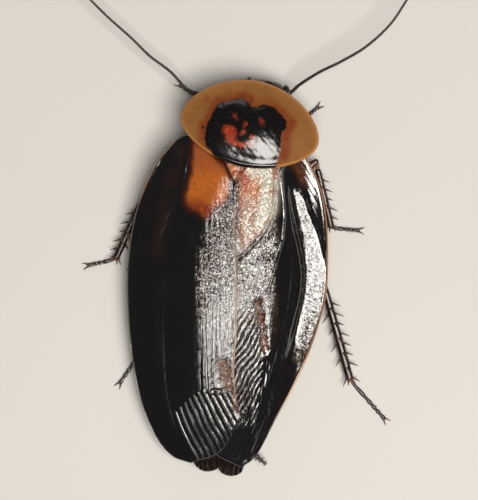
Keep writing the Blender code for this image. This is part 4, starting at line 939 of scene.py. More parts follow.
def forewing_flows(side, u, v, x, y, width):
    """Where each colour and texture of a forewing's finish lies."""
    brown, rust = stained(x, y, BROWN[side]), stained(x, y, RUST[side])
    sway = x + 0.4 * ripple(x, y, 4.0, 27)
    streaked = ramp(y, 7.0, -1.0) * ramp(x, 8.0, 7.0) * (1 - brown)
    streaked = streaked * (0.15 * ramp(sway, -8.5, -4.5) + 0.85 * ramp(sway, -4.6, -1.6))
    if side == LEFT:
        streaked = streaked * ramp(spline(REAR_FOLD)(x) - y, 0.8, 0.0)
    count, raised = rear_ridges(side, x, y)
    netted = np.maximum(net_and_sheen_share(side, x, y, 1.7 * brown + 0.8 * rust, streaked), 0.12 * raised)
    # The rim's tan line is partly the margin's own colour and partly a painted highlight, strongest along the
    # right wing and the left wing's front.
    rim = (ramp(v * width, 0.26, 0.12) * (1.0 if side == RIGHT else ramp(u, 0.25, 0.12) + 0.15)
           * ramp(u, 0.9, 0.7))
    seam = ramp((1 - v) * width, 0.24, 0.1) * ramp(u, 0.06, 0.16) * ramp(u, 0.95, 0.8)
    matt = np.maximum.reduce([0.12 * brown, 0.35 * rust, 0.45 * (rim + seam)])
    return {"matt": np.clip(matt, 0, 1), "amber": inside_by(x, y, AMBER_FIELD[side]),
            "cream": stained(x, y, CREAM_AND_SHEEN[side]), "rust": rust, "brown": brown, "streaked": streaked,
            "ridge": count, "ridged": raised, "glow": (y - 17.0) / 7.0, "edge": np.clip(rim + seam, 0, 1),
            "netted": 0.12 + 0.88 * netted}


class COCKROACH_OT_forewings(CockroachStep, bpy.types.Operator):
    """Builds the two leathery forewings, their veins raised in their own skin"""

    bl_idname = "cockroach.forewings"
    bl_label = "Forewings"

    def build(self, sizes, colours):
        leather = forewing_leather(colours, sizes)
        full = sizes.wing_thickness / MM
        for side, name in SIDES.items():
            u, v, x, y, width = forewing_plan(side)
            relief = sizes.vein_height / MM * forewing_veins(side, u, v, x, y, width)
            relief = ((relief + forewing_folds(side, u, v, x, y, width))
                      * (0.25 + 0.75 * ramp(u, 0.0, 0.06) * ramp(u, 1.0, 0.97)))
            from_edge = np.minimum.reduce([v * width, (1 - v) * width, u * WING_LENGTH,
                                           (1 - u) * WING_LENGTH])
            thick = full * (0.3 + 0.7 * np.sqrt(np.clip(from_edge / WING_EDGE_RADIUS, 0, 1)))
            lap = -side * OVERLAP_STEP * ramp(y, 23.0, 20.2) * ramp(side * x, 7.2, 3.2)
            level = dome(x, y) + WING_TOP + lap - (full - thick) / 2
            top = np.stack([x, y, level + relief], axis=-1)
            under = np.stack([x, y, level + relief * 0.5 - thick], axis=-1)
            lie = np.stack([(1 - v) * width, u * WING_LENGTH, 0 * u], axis=-1).reshape(-1, 3)
            flows = {key: np.tile(flow.ravel(), 2)
                     for key, flow in forewing_flows(side, u, v, x, y, width).items()}
            skin = Skin()
            skin.add(closed_plate(top, under), lie=np.concatenate([lie, lie]), **flows)
            skin.make("forewing_" + name, [leather], ["tegmen_" + name], "forewings")


class COCKROACH_OT_hind_wings(CockroachStep, bpy.types.Operator):
    """Builds the folded hind wings, pleated along their length"""

    bl_idname = "cockroach.hind_wings"
    bl_label = "Hind wings"

    def build(self, sizes, colours):
        membrane = smoky_membrane(colours)
        for side, name in SIDES.items():
            middle = HIND_MIDLINE - side * HIND_OVERLAP
            front, back = (middle, HIND_FRONT), (middle, HIND_REAR)
            outer, inner = route([*HIND_OUTER[side], HIND_TIP[side][0]]), route([front, back])
            base, rear = route([HIND_OUTER[side][0], front]), route([*HIND_TIP[side], back])
            u, v = np.meshgrid(np.linspace(0, 1, 170), np.linspace(0, 1, 90), indexing="ij")
            plan = patch(base, rear, outer, inner, u, v)
            x, y = plan[..., 0], plan[..., 1]
            width = np.linalg.norm(plan[:, 0] - plan[:, -1], axis=1)[:, None] + 0 * v
            wave = np.cos(v * HIND_PLEATS * 2 * math.pi + 0.5 * np.sin(u * 5))
            height = below_dome(x, y, HIND_WING_DEPTH) + 0.03 * ripple(x * 2, y * 0.6, 1.2, 31)
            height = height + 0.13 * wave * ramp(u, 0.03, 0.2) * ramp((1 - v) * width, 0.3, 1.4)
            height = height - side * 0.16 * ramp((1 - v) * width, 2.5, 0.8) - 0.3 * ramp(u, 0.95, 1.0) ** 2
            from_edge = np.minimum.reduce([v * width, (1 - v) * width, (1 - u) * 40])
            thick = 0.05 + 0.1 * np.sqrt(np.clip(from_edge / 0.3, 0, 1))
            top = np.stack([x, y, height + 0.1], axis=-1)
            under = np.stack([x, y, height + 0.1 - thick], axis=-1)
            lie = np.stack([(1 - v) * width, u * 41, 0 * u], axis=-1).reshape(-1, 3)
            skin = Skin()
            # The fold flow marks the valleys of the pleats, where shade is painted.
            fold = ramp(wave, -0.6, -1.0).ravel()
            skin.add(closed_plate(top, under), lie=np.concatenate([lie, lie]),
                     fold=np.concatenate([fold, fold]))
            skin.make("hind_wing_" + name, [membrane], ["hind_wing_" + name], "hind_wings")


def unit(vector):
    return vector / np.linalg.norm(vector, axis=-1, keepdims=True)


def blunt(count, length, start, end):
    """Shares along a limb, close together at its ends, and the girth there that rounds them off over these
    lengths."""
    share = (1 - np.cos(np.linspace(0.05, math.pi - 0.05, count))) / 2
    near, far = np.clip(share * length / start, 0, 1), np.clip((1 - share) * length / end, 0, 1)
    return share, np.sqrt(np.clip(1 - (1 - near) ** 2, 0.01, 1) * np.clip(1 - (1 - far) ** 2, 0.01, 1))


def sweep(path, wide, tall, sides=20, power=2.0, up=UP):
    """Rings square to a path, with the half width and half height at each of its points."""
    ahead = unit(np.gradient(path, axis=0))
    across = unit(np.cross(ahead, up))
    upright = np.cross(across, ahead)
    angle = np.linspace(0, 2 * math.pi, sides, endpoint=False)
    reach = squareness(angle, power)
    return (path[:, None] + across[:, None] * (wide[:, None] * (reach * np.cos(angle)))[..., None]
            + upright[:, None] * (tall[:, None] * (reach * np.sin(angle)))[..., None])


def spokes(outward, rise, angle):
    """Directions round an axis: outward at 0 and up at a quarter turn."""
    return outward * np.cos(angle)[..., None] + rise * np.sin(angle)[..., None]


def per_ring(values, sides):
    """One value for each ring, spread over a closed loft's points."""
    return with_poles(np.repeat(np.asarray(values, float), sides))


def limb(start, end, sections, count=36, sides=20, rounding=(0.3, 0.3), power=2.0, up=UP):
    """A limb piece through sections of (share, half width, half height), and the darkness of its ends."""
    start, end = np.array(start, float), np.array(end, float)
    length = np.linalg.norm(end - start)
    share, girth = blunt(count, length, *rounding)
    size = spline([(place, (wide, tall)) for place, wide, tall in sections])(share) * girth[:, None]
    rings = sweep(start + (end - start) * share[:, None], size[:, 0], size[:, 1], sides, power, up)
    dark = per_ring(np.maximum(ramp(share * length, 0.5, 0.1), ramp((1 - share) * length, 0.6, 0.1)), sides)
    return closed_loft(rings), dark


def egg(centre, axes, radii, rows=14, sides=20, power=2.0):
    """A closed egg: its own three axes and the radius along each."""
    polar = np.linspace(0.12, math.pi - 0.12, rows)[:, None]
    angle = np.linspace(0, 2 * math.pi, sides, endpoint=False)[None, :]
    reach = squareness(angle, power)
    local = np.stack([np.sin(polar) * np.cos(angle) * reach, np.sin(polar) * np.sin(angle) * reach,
                      np.cos(polar) + 0 * angle], axis=-1)
    return closed_loft(np.asarray(centre) + (local * np.asarray(radii)) @ np.asarray(axes))


def planting_tree():
    """Geometry nodes that plant a small shape on every point, aimed and sized by the point's own flows."""
    tree = bpy.data.node_groups.new("plant_shapes", "GeometryNodeTree")
    for title, kind in (("Roots", "NodeSocketGeometry"), ("Shape", "NodeSocketObject"),
                        ("Finish", "NodeSocketMaterial"), ("Size", "NodeSocketFloat"),
                        ("Size Spread", "NodeSocketFloat"), ("Seed", "NodeSocketInt")):
        tree.interface.new_socket(title, in_out="INPUT", socket_type=kind)
    tree.interface.new_socket("Planted", in_out="OUTPUT", socket_type="NodeSocketGeometry")
    given = tree.nodes.new("NodeGroupInput").outputs
    aim = node(tree, "GeometryNodeInputNamedAttribute", {"Name": "aim"}, data_type="FLOAT_VECTOR")
    size = node(tree, "GeometryNodeInputNamedAttribute", {"Name": "size"}, data_type="FLOAT_VECTOR")
    turn = node(tree, "FunctionNodeAlignRotationToVector", {"Vector": aim}, axis="Z")
    low = node(tree, "ShaderNodeMath", {0: 1.0, 1: given["Size Spread"]}, operation="SUBTRACT")
    high = node(tree, "ShaderNodeMath", {0: 1.0, 1: given["Size Spread"]}, operation="ADD")
    chance = node(tree, "FunctionNodeRandomValue", {2: low, 3: high, "Seed": given["Seed"]}, 1,
                  data_type="FLOAT")
    whole = node(tree, "ShaderNodeMath", {0: chance, 1: given["Size"]}, operation="MULTIPLY")
    scale = node(tree, "ShaderNodeVectorMath", {0: size, "Scale": whole}, operation="SCALE")
    shape = node(tree, "GeometryNodeObjectInfo", {"Object": given["Shape"]}, "Geometry")
    planted = node(tree, "GeometryNodeInstanceOnPoints",
                   {"Points": given["Roots"], "Instance": shape, "Rotation": turn, "Scale": scale})
    real = node(tree, "GeometryNodeRealizeInstances", {"Geometry": planted})
    done = node(tree, "GeometryNodeSetMaterial", {"Geometry": real, "Material": given["Finish"]})
    feed(tree.nodes.new("NodeGroupOutput"), {0: done})
    return tree


def planted(name, roots, aims, sizes, shape, finish, seed=1, spread=0.0):
    """A plain mesh of a shape planted on each root, in mm, by the planting tree."""
    tree = bpy.data.node_groups.get("plant_shapes") or planting_tree()
    sockets = {socket.name: socket.identifier for socket in tree.interface.items_tree
               if socket.in_out == "INPUT"}
    roots = (np.asarray(roots, float) + SHIFT) * MM
    data = bpy.data.meshes.new(name)
    data.from_pydata(roots.tolist(), [], [])
    sizes = np.broadcast_to(np.asarray(sizes, float).reshape(len(roots), -1), (len(roots), 3))
    for key, values in (("aim", unit(np.asarray(aims, float))), ("size", sizes)):
        data.attributes.new(key, "FLOAT_VECTOR",
                            "POINT").data.foreach_set("vector", values.ravel().astype(np.float32))
    item = bpy.data.objects.new(name, data)
    template_data = bpy.data.meshes.new(name + "_shape")
    points, faces = shape
    template_data.from_pydata((points * MM).tolist(), [], corners(faces))
    template = bpy.data.objects.new(name + "_shape", template_data)
    for thing in (item, template):
        bpy.context.scene.collection.objects.link(thing)
    grow = item.modifiers.new("plant", "NODES")
    grow.node_group = tree
    for title, value in (("Shape", template), ("Finish", finish), ("Size", 1.0), ("Size Spread", spread),
                         ("Seed", seed)):
        grow[sockets[title]] = value
    bpy.context.view_layer.update()
    finished = bpy.data.meshes.new_from_object(item.evaluated_get(bpy.context.evaluated_depsgraph_get()))
    item.modifiers.clear()
    item.data = finished
    bpy.data.objects.remove(template, do_unlink=True)
    return item


# Small shapes are drawn up along +Z, with +Y ahead of them.
AHEAD_OF_SHAPE = np.array((0.0, 1.0, 0.0))


def spine_shape():
    """A horn spine 1 mm long on +Z, a little curved, on a low socket ring."""
    height = np.array((-0.12, -0.02, 0.03, 0.07, 0.25, 0.5, 0.75, 0.93, 1.0))
    girth = np.array((0.16, 0.17, 0.15, 0.11, 0.1, 0.08, 0.052, 0.022, 0.006))
    path = np.stack([0.06 * height ** 2, 0 * height, height], axis=-1)
    return closed_loft(sweep(path, girth, girth, 8, up=AHEAD_OF_SHAPE))


def bristle_shape():
    """A stiff hair 1 mm long on +Z, thick enough to stay solid."""
    height = np.array((-0.1, 0.3, 0.7, 1.0))
    path = np.stack([0.12 * height ** 2, 0 * height, height], axis=-1)
    girth = np.array((0.05, 0.042, 0.026, 0.008))
    return closed_loft(sweep(path, girth, girth, 5, up=AHEAD_OF_SHAPE))


# The gap between pieces, and the trunk's depth under the dome. Sections give place along the body and sizes
# there.
GAP, TRUNK_DEPTH = 0.3, 2.14
THORAX_REAR, THORAX_BELLY, THORAX_FLAT = 11.9, 3.5, 0.45
THORAX_SECTIONS = [(24.1, 4.2, 0.8), (22.6, 6.2, 0.8), (20.0, 8.0, 1.1), (19.5, 8.2, 2.14),
                   (16.0, 8.8, 2.14), (11.9, 9.4, 2.14)]
PROTHORAX_SECTIONS = [(-2.35, 3.1, 4.2), (-1.6, 3.7, 3.7), (0.4, 4.3, 3.5), (2.2, 3.6, 4.0)]
PROTHORAX_CLEARANCE, PROTHORAX_SIDE_FALL, PROTHORAX_SIDE_RISE = 0.68, 2.6, 1.6
ABDOMEN_REAR, ABDOMEN_SEGMENTS, ABDOMEN_EDGE, BELLY_POWER = -17.9, 8, 0.4, 1.6
ABDOMEN_HALF_WIDTH = [(-17.9, 3.9), (-16, 5.6), (-13, 7.7), (-9, 9.6), (-4, 10.6), (2, 11.0), (8, 10.5),
                      (11.6, 9.6)]
ABDOMEN_BELLY = [(-17.9, 2.4), (-15, 2.2), (-8, 2.2), (-2, 2.5), (3, 3.2), (6.5, 3.5), (11.6, 3.6)]
# Shares along one ring of the abdomen, below 0 where it is tucked under the one in front, and how far it
# draws in.
RING_TUCK = 0.7
RING_PROFILE = [(-1.0, 0.6), (-0.8, 0.38), (0.0, 0.2), (0.3, 0.1), (0.7, 0.03), (0.86, 0.0), (0.95, 0.02),
                (0.985, 0.1), (1.0, 0.25)]
BELLY_PLATES = [(20.6, 3.0, 1.5), (14.4, 3.4, 1.8)]
SCUTELLUM = [(-1.5, 22.3), (1.7, 22.3), (0.05, 19.9)]


def trunk_rings(y, half_width, depth, belly, flat, inset, steps=34):
    """Sections of the trunk: the back follows the dome and the belly is flatter."""
    parts = np.broadcast_arrays(y, half_width, depth, belly, inset)
    y, half_width, depth, belly, inset = (np.asarray(part, float)[:, None] for part in parts)
    share = np.sin(np.linspace(-math.pi / 2, math.pi / 2, steps))[None, :]
    x = share * (half_width - inset)
    back = below_dome(x, y, depth) - inset
    rise = np.maximum(np.abs(share) - flat, 0) / (1 - flat)
    keel = belly + inset + (back[:, -1:] - ABDOMEN_EDGE - belly - inset) * rise ** BELLY_POWER
    upper = np.stack([x, y + 0 * x, back], axis=-1)
    lower = np.stack([x, y + 0 * x, keel], axis=-1)[:, ::-1]
    return np.concatenate([upper, lower], axis=1)


class COCKROACH_OT_trunk(CockroachStep, bpy.types.Operator):
    """Builds the trunk: prothorax, thorax with its scutellum, and the overlapping rings of the abdomen"""

    bl_idname = "cockroach.trunk"
    bl_label = "Trunk"

    def build(self, sizes, colours):
        plate, membrane = cuticle("trunk_plate", "#1E0F08", "#4A2614", 0.34), soft_skin("trunk_skin")
        half_width, belly = spline(ABDOMEN_HALF_WIDTH), spline(ABDOMEN_BELLY)
        self.abdomen(plate, membrane, half_width, belly)
        self.thorax(plate, membrane, half_width, belly)
        self.prothorax(plate, membrane)

    def abdomen(self, plate, membrane, half_width, belly):
        """Overlapping rings, each tucked under the one in front, over a core of soft skin."""
        front, steps = THORAX_REAR - GAP, 34
        length = (front - ABDOMEN_REAR) / ABDOMEN_SEGMENTS
        run, inset = np.array(RING_PROFILE).T
        abdomen = Skin()
        for segment in range(ABDOMEN_SEGMENTS):
            tuck = RING_TUCK if segment else 0.25
            y = front - segment * length - np.where(run < 0, run * tuck, run * length)
            rings = trunk_rings(y, half_width(y), TRUNK_DEPTH, belly(y), 0.0, inset, steps)
            dark = per_ring(ramp(run, 0.7, 0.95), 2 * steps)
            abdomen.add(closed_loft(rings), 0, edge=dark)
        y = np.linspace(front - 0.3, ABDOMEN_REAR + 0.6, 40)
        abdomen.add(closed_loft(trunk_rings(y, half_width(y), TRUNK_DEPTH, belly(y), 0.0, 0.45, 20)), 1)
        abdomen.make("abdomen_rings", [plate, membrane], ["abdomen"], "body_shell")

    def thorax(self, plate, membrane, half_width, belly):
        """The thorax in soft skin, with two belly plates and the small scutellum between the wing bases."""
        thorax = Skin()
        places, wides, deeps = np.array(THORAX_SECTIONS[::-1]).T
        y = np.concatenate([np.linspace(THORAX_REAR, 19.45, 14), np.linspace(19.6, 24.1, 10)])
        wide, deep = np.interp(y, places, wides), np.interp(y, places, deeps)
        ends = 0.35 * ramp(y, THORAX_REAR + 0.5, THORAX_REAR) + 1.1 * np.clip((y - 22.6) / 1.5, 0, 1) ** 2
        thorax.add(closed_loft(trunk_rings(y, wide, deep, THORAX_BELLY, THORAX_FLAT, ends, 40)), 1)
        y = THORAX_REAR + np.array((0.7, 0.4, -0.2, -0.8))
        thorax.add(closed_loft(trunk_rings(y, half_width(y) - 0.6, TRUNK_DEPTH, belly(y), 0.2, 0.35, 30)), 1)
        for centre, half, long in BELLY_PLATES:
            form = egg((0, centre, THORAX_BELLY + 0.12), np.eye(3), (half, long, 0.32), power=2.6)
            thorax.add(form, 0, edge=0.3)
        across, along = np.meshgrid(np.linspace(-1, 1, 40), np.linspace(0, 1, 40), indexing="xy")
        left, right, tip = (np.array(corner) for corner in SCUTELLUM)
        x = ((left[0] + right[0]) / 2 * (1 - along) + tip[0] * along
             + across * (right[0] - left[0]) / 2 * (1 - along * 0.96))
        y = left[1] * (1 - along) + tip[1] * along
        crown = 0.26 * (1 - across ** 2) * (1 - along) + 0.05 * ripple(x, y, 0.6, 41)
        top = np.stack([x, y, dome(x, y) - 0.28 + crown], axis=-1)
        dark = np.tile(ramp(np.abs(across), 0.75, 1.0).ravel() * 0.8, 2)
        thorax.add(closed_plate(top, top - UP * 0.5), 2, edge=dark)
        tan = cuticle("scutellum_plate", "#7A3416", "#B8704A", 0.34)
        thorax.make("thorax_plates", [plate, membrane, tan], ["thorax"], "body_shell")

    def prothorax(self, plate, membrane):
        """The soft prothorax under the shield, its ends drawn in, with a plate over each fore hip."""
        prothorax = Skin()
        forward = np.linspace(PROTHORAX_SECTIONS[0][0] - 0.35, PROTHORAX_SECTIONS[-1][0], 22)
        size = spline([(place, rest) for place, *rest in PROTHORAX_SECTIONS])(forward)
        share = np.sin(np.linspace(-math.pi / 2, math.pi / 2, 30))[None, :]
        drop = PROTHORAX_CLEARANCE - 0.36 + PROTHORAX_SIDE_FALL * share ** 4
        top = shield_place(share * size[:, :1], forward[:, None] + 0 * share, drop)
        low = top.copy()
        low[..., 2] = size[:, 1:] + PROTHORAX_SIDE_RISE * np.abs(share) ** 3
        ends = sum(np.clip(1 - reach / 1.3, 0, 1) ** 2
                   for reach in (forward - forward[0], forward[-1] - forward))
        rings, middle = np.concatenate([top, low[:, ::-1]], axis=1), (top + low) / 2
        middle = np.concatenate([middle, middle[:, ::-1]], axis=1)
        prothorax.add(closed_loft(rings + (middle - rings) * 0.5 * ends[:, None, None]), 1)
        for turn in SIDES:
            centre = shield_place(np.array(turn * 2.6), np.array(0.3), 4.6)
            prothorax.add(egg(centre, np.eye(3), (1.5, 1.9, 0.9)), 0, edge=0.2)
        prothorax.make("prothorax_plates", [plate, membrane], ["prothorax"], "body_shell")


# The head: centre, turn to the animal's right and lean. Its axes are across, face (out of the face) and
# crown.
HEAD_CENTRE = np.array((3.5, 32.0, 3.75))
HEAD_YAW, HEAD_LEAN = math.radians(8), math.radians(50)
AHEAD = np.array((math.sin(HEAD_YAW), math.cos(HEAD_YAW), 0.0))
HEAD_ACROSS = np.array((math.cos(HEAD_YAW), -math.sin(HEAD_YAW), 0.0))
HEAD_CROWN = UP * math.cos(HEAD_LEAN) + AHEAD * math.sin(HEAD_LEAN)
HEAD_FACE = AHEAD * math.cos(HEAD_LEAN) - UP * math.sin(HEAD_LEAN)
HEAD_AXES = np.array((HEAD_ACROSS, HEAD_FACE, HEAD_CROWN))
# Height up the head, half width, half depth and shift out of the face.
HEAD_SECTIONS = [(-2.3, 1.8, 1.1, -0.1), (-1.7, 2.2, 1.5, -0.05), (-0.8, 2.75, 1.8, 0), (0.3, 3.1, 1.95, 0),
                 (1.4, 3.1, 1.9, 0), (2.4, 2.75, 1.65, 0), (3.05, 2.1, 1.2, -0.05), (3.4, 1.3, 0.7, -0.1)]
EYE_CENTRE, EYE_RADII = (2.7, 0.5, 1.35), (0.8, 1.1, 1.6)
FEELER_SOCKET = (1.5, 1.55, -0.1)
NECK_START, NECK_END, NECK_FOLDS = (2.5, 6.6), (0, -2.3, 0.9), 6
HEAD_ROWS, HEAD_SIDES = 90, 96


def head_point(across, face, crown):
    return HEAD_CENTRE + HEAD_ACROSS * across + HEAD_FACE * face + HEAD_CROWN * crown


def head_places(points):
    """Points in the head's own axes become points of the body."""
    return HEAD_CENTRE + np.asarray(points) @ HEAD_AXES


def head_surface():
    """The head capsule's rings in its own axes, how dark each place is, and where the pale upper lip base
    lies."""
    height = np.sin(np.linspace(-math.pi / 2, math.pi / 2, HEAD_ROWS)) * 2.92 + 0.62
    size = spline([(place, rest) for place, *rest in HEAD_SECTIONS])(height)
    cap = np.sqrt(np.clip(1 - np.clip((height - 2.6) / 0.96, 0, 1) ** 2, 0.01, 1)
                  * np.clip((height + 2.36) / 0.25, 0.01, 1))
    angle = np.linspace(0, 2 * math.pi, HEAD_SIDES, endpoint=False)[None, :]
    reach = squareness(angle, 2.3)
    across = size[:, :1] * cap[:, None] * reach * np.cos(angle)
    face = size[:, 1:2] * cap[:, None] * reach * np.sin(angle) + size[:, 2:3]
    crown = height[:, None] + 0 * angle
    front, side = face > 0, np.abs(across)
    seam = np.minimum(np.hypot(across, np.maximum(0, 0.9 - crown)),
                      np.abs(crown - 0.9 + side * 0.75) + np.maximum(0, side - 1.2) * 2)
    clypeus = np.abs(crown + 1.35 + 0.12 * side ** 2) + np.maximum(0, side - 1.7) * 2
    socket = np.hypot(side - FEELER_SOCKET[0], crown - FEELER_SOCKET[2])
    orbit = np.sqrt(sum(((place - centre) / (radius + room)) ** 2 for place, centre, radius, room in
                        zip((side, face, crown), EYE_CENTRE, EYE_RADII, (0.5, 0.16, 0.16))))
    inward = front * (0.07 * crest(seam, 0.12) + 0.1 * crest(clypeus, 0.16) + 0.28 * crest(socket, 0.45)
                      - 0.14 * crest(socket - 0.62, 0.14))
    inward += 0.12 * ramp(orbit, 1.0, 0.85) - 0.06 * crest(orbit - 1.06, 0.06)
    inward += 0.02 * ripple(across * 1.3, crown, 0.9, 51)
    shrink = 1 - inward / np.maximum(np.hypot(across, face), 0.5)
    dark = front * (crest(seam, 0.1) + crest(clypeus, 0.12)) + 0.8 * crest(orbit - 1.0, 0.05)
    rings = np.stack([across * shrink, face * shrink, crown], axis=-1)
    return rings, np.clip(dark, 0, 1), front * ramp(crown, -1.5, -1.9)


class COCKROACH_OT_head(CockroachStep, bpy.types.Operator):
    """Builds the head capsule with its seams, sockets and pale spots, and the neck"""

    bl_idname = "cockroach.head"
    bl_label = "Head and neck"

    def build(self, sizes, colours):
        shell = cuticle("head_shell", "#140A06", "#331A0E", 0.24, pit=0.09, relief=0.009)
        pale = cuticle("pale_horn", "#8A6238", "#C8A878", 0.35)
        rings, dark, lip = head_surface()
        form = closed_loft(head_places(rings))
        capsule = Skin()
        capsule.add(form, 0, edge=with_poles(dark))
        capsule.finish[0] = (with_poles(lip) > 0.5)[form[1]].all(axis=1).astype(int)
        for turn in SIDES:
            capsule.add(egg(head_point(turn * 1.3, 1.76, 0.62), HEAD_AXES, (0.25, 0.14, 0.17), 12, 24), 1)
        capsule.make("head_capsule", [shell, pale], ["head"], "head_shell")
        self.neck(shell)

    def neck(self, shell):
        """The folded skin of the neck with a small plate in each side."""
        neck = Skin()
        heading = np.array((math.sin(SHIELD_YAW), math.cos(SHIELD_YAW)))
        start = np.array((*(SHIELD_CENTRE + heading * (NECK_START[0] - 0.9)), NECK_START[1]))
        end = head_point(NECK_END[0], NECK_END[1] + 0.8, NECK_END[2])
        share = np.linspace(0, 1, 60)
        fold = 1 + 0.05 * np.cos(share * 2 * math.pi * NECK_FOLDS)
        path = start + (end - start) * share[:, None] + UP * (0.15 * np.sin(math.pi * share))[:, None]
        neck.add(closed_loft(sweep(path, (1.95 - 0.35 * share) * fold, (1.5 - 0.3 * share) * fold, 36)), 1)
        for turn in SIDES:
            middle = path[28] + np.array((turn * 1.25, 0.1, -0.75))
            neck.add(egg(middle, np.eye(3), (0.55, 1.0, 0.5)), 0, edge=0.2)
        neck.make("neck_skin_and_plates", [shell, soft_skin("neck_skin")], ["neck"], "body_shell")


# Facets on a whole eye, of which about a third face the head and are left out, and the rings of one facet.
EYE_FACETS = 2400
FACET_RINGS = [(0.52, -0.25), (0.5, 0.0), (0.36, 0.13), (0.15, 0.2)]


class COCKROACH_OT_eyes(CockroachStep, bpy.types.Operator):
    """Builds the two compound eyes, every facet a small lens"""

    bl_idname = "cockroach.eyes"
    bl_label = "Eyes"

    def build(self, sizes, colours):
        cornea = eye_lens()
        angle, (wide, height) = np.arange(6) * math.pi / 3, np.array(FACET_RINGS).T[..., None]
        lens = closed_loft(np.stack([np.cos(angle) * wide, np.sin(angle) * wide, 0 * angle + height],
                                    axis=-1))
        for side, name in SIDES.items():
            centre, radii = np.array((side, 1, 1)) * EYE_CENTRE, np.array(EYE_RADII)
            order = np.arange(EYE_FACETS) + 0.5
            polar, turn = np.arccos(1 - 2 * order / EYE_FACETS), order * math.pi * (1 + math.sqrt(5))
            ball = np.stack([np.cos(turn) * np.sin(polar), np.sin(turn) * np.sin(polar), np.cos(polar)],
                            axis=-1)
            ball = ball[ball[:, 0] * side > -0.35]
            roots = head_places(centre + ball * radii * 0.985)
            aims = (ball / radii) @ HEAD_AXES
            pitch = 2 * math.sqrt(np.mean(radii * np.roll(radii, 1)) / EYE_FACETS) * 1.02
            facets = planted("facets_" + name, roots, aims, np.full(len(roots), pitch), lens, cornea)
            eye = Skin()
            eye.add(egg(HEAD_CENTRE + centre @ HEAD_AXES, HEAD_AXES, radii * 0.97, 40, 60))
            eye.make("eye_" + name, [cornea], ["eye_" + name], "eyes", [facets])


UPPER_LIP_SECTIONS = [(-2.62, 1.45, 0.26, 0.72), (-3.1, 1.4, 0.27, 0.74), (-3.55, 0.9, 0.25, 0.66)]
LOWER_LIP_SECTIONS = [(-2.62, 1.7, 0.3, -0.98), (-3.1, 1.5, 0.3, -1.0), (-3.6, 1.0, 0.26, -0.95)]
JAW_HEIGHT = -3.0
LONG_PALP = [(2.15, -0.75, -2.75), (2.7, -0.45, -2.95), (3.2, 0.2, -2.9), (3.4, 1.1, -2.5),
             (3.15, 1.95, -1.95), (2.8, 2.5, -1.95)]
SHORT_PALP = [(0.5, -0.95, -4.05), (0.85, -0.8, -4.5), (1.0, -0.3, -4.8), (0.8, 0.25, -4.85)]


class COCKROACH_OT_mouthparts(CockroachStep, bpy.types.Operator):
    """Builds the lips, jaws and jointed palps round the mouth"""

    bl_idname = "cockroach.mouthparts"
    bl_label = "Mouthparts"

    def build(self, sizes, colours):
        shell = cuticle("lip_shell", "#3A1E10", "#6A4024", 0.34)
        jaw_horn = cuticle("jaw_horn", "#0E0705", "#3A1A0C", 0.2)
        membrane = soft_skin("palp_skin")
        lips = (("upper_lip", UPPER_LIP_SECTIONS, "labrum", "head_shell"),
                ("lower_lip", LOWER_LIP_SECTIONS, "labium", "mouthparts"))
        for name, sections, node_name, slot_name in lips:
            share, girth = blunt(30, 1.2, 0.25, 0.3)
            place = spline([(index / 2, section) for index, section in enumerate(sections)])(share)
            place[:, 0] = np.where(share < 0.1, place[:, 0] + 0.35 * (0.1 - share) / 0.1, place[:, 0])
            angle = np.linspace(0, 2 * math.pi, 40, endpoint=False)[None, :]
            reach = squareness(angle, 2.6)
            notch = 1 - 0.12 * crest(np.cos(angle), 0.2) * share[:, None]
            across = place[:, 1:2] * girth[:, None] * reach * np.cos(angle)
            face = place[:, 2:3] * girth[:, None] * reach * np.sin(angle) + place[:, 3:4]
            lip = Skin()
            rings = np.stack([across, face, place[:, :1] * notch ** 0.3 + 0 * angle], axis=-1)
            lip.add(closed_loft(head_places(rings)), 0, edge=per_ring(ramp(share, 0.8, 1.0), 40))
            lip.make(name, [shell], [node_name], slot_name)
        for side, name in SIDES.items():
            jaw = Skin()
            share, girth = blunt(30, 1.8, 0.3, 0.25)
            reach = 1.95 - 1.78 * share
            height = JAW_HEIGHT + 0.12 - 0.34 * share + 0.1 * np.sin(share * math.pi)
            centre = np.stack([side * reach, -0.05 + 0.1 * share, height], axis=-1)
            tooth = 1 + 0.22 * np.abs(np.sin(share * math.pi * 3.5)) * ramp(share, 0.35, 0.7)
            rings = sweep(head_places(centre), 0.32 * girth, (0.42 - 0.2 * share) * girth * tooth, 24,
                          up=HEAD_CROWN)
            jaw.add(closed_loft(rings), 0, edge=per_ring(ramp(share, 0.5, 0.9), 24))
            jaw.make("jaw_" + name, [jaw_horn], ["mandible_" + name], "mouthparts")
            for kind, places, radius, node_name in (("long", LONG_PALP, 0.29, "maxillary"),
                                                    ("short", SHORT_PALP, 0.25, "labial")):
                points = head_places([(side * a, f, c) for a, f, c in places])
                palp = Skin()
                for joint, (near, far) in enumerate(zip(points, points[1:])):
                    ahead = unit(far - near)
                    last = joint == len(points) - 2
                    sections = [(0, radius * 0.6, radius * 0.6), (0.7, radius, radius * 0.95),
                                (1, radius * (1.1 if last else 0.9), radius)]
                    form, dark = limb(near + ahead * 0.02, far + ahead * (0.28 if last else 0.12), sections,
                                      20, 16, (0.15, 0.16))
                    palp.add(form, 0, edge=dark * 0.6)
                    palp.add(egg(near, np.eye(3), (radius * 0.72,) * 3, 8, 10), 1)
                palp.make(kind + "_palp_" + name, [shell, membrane], [node_name + "_palp_" + name],
                          "mouthparts")


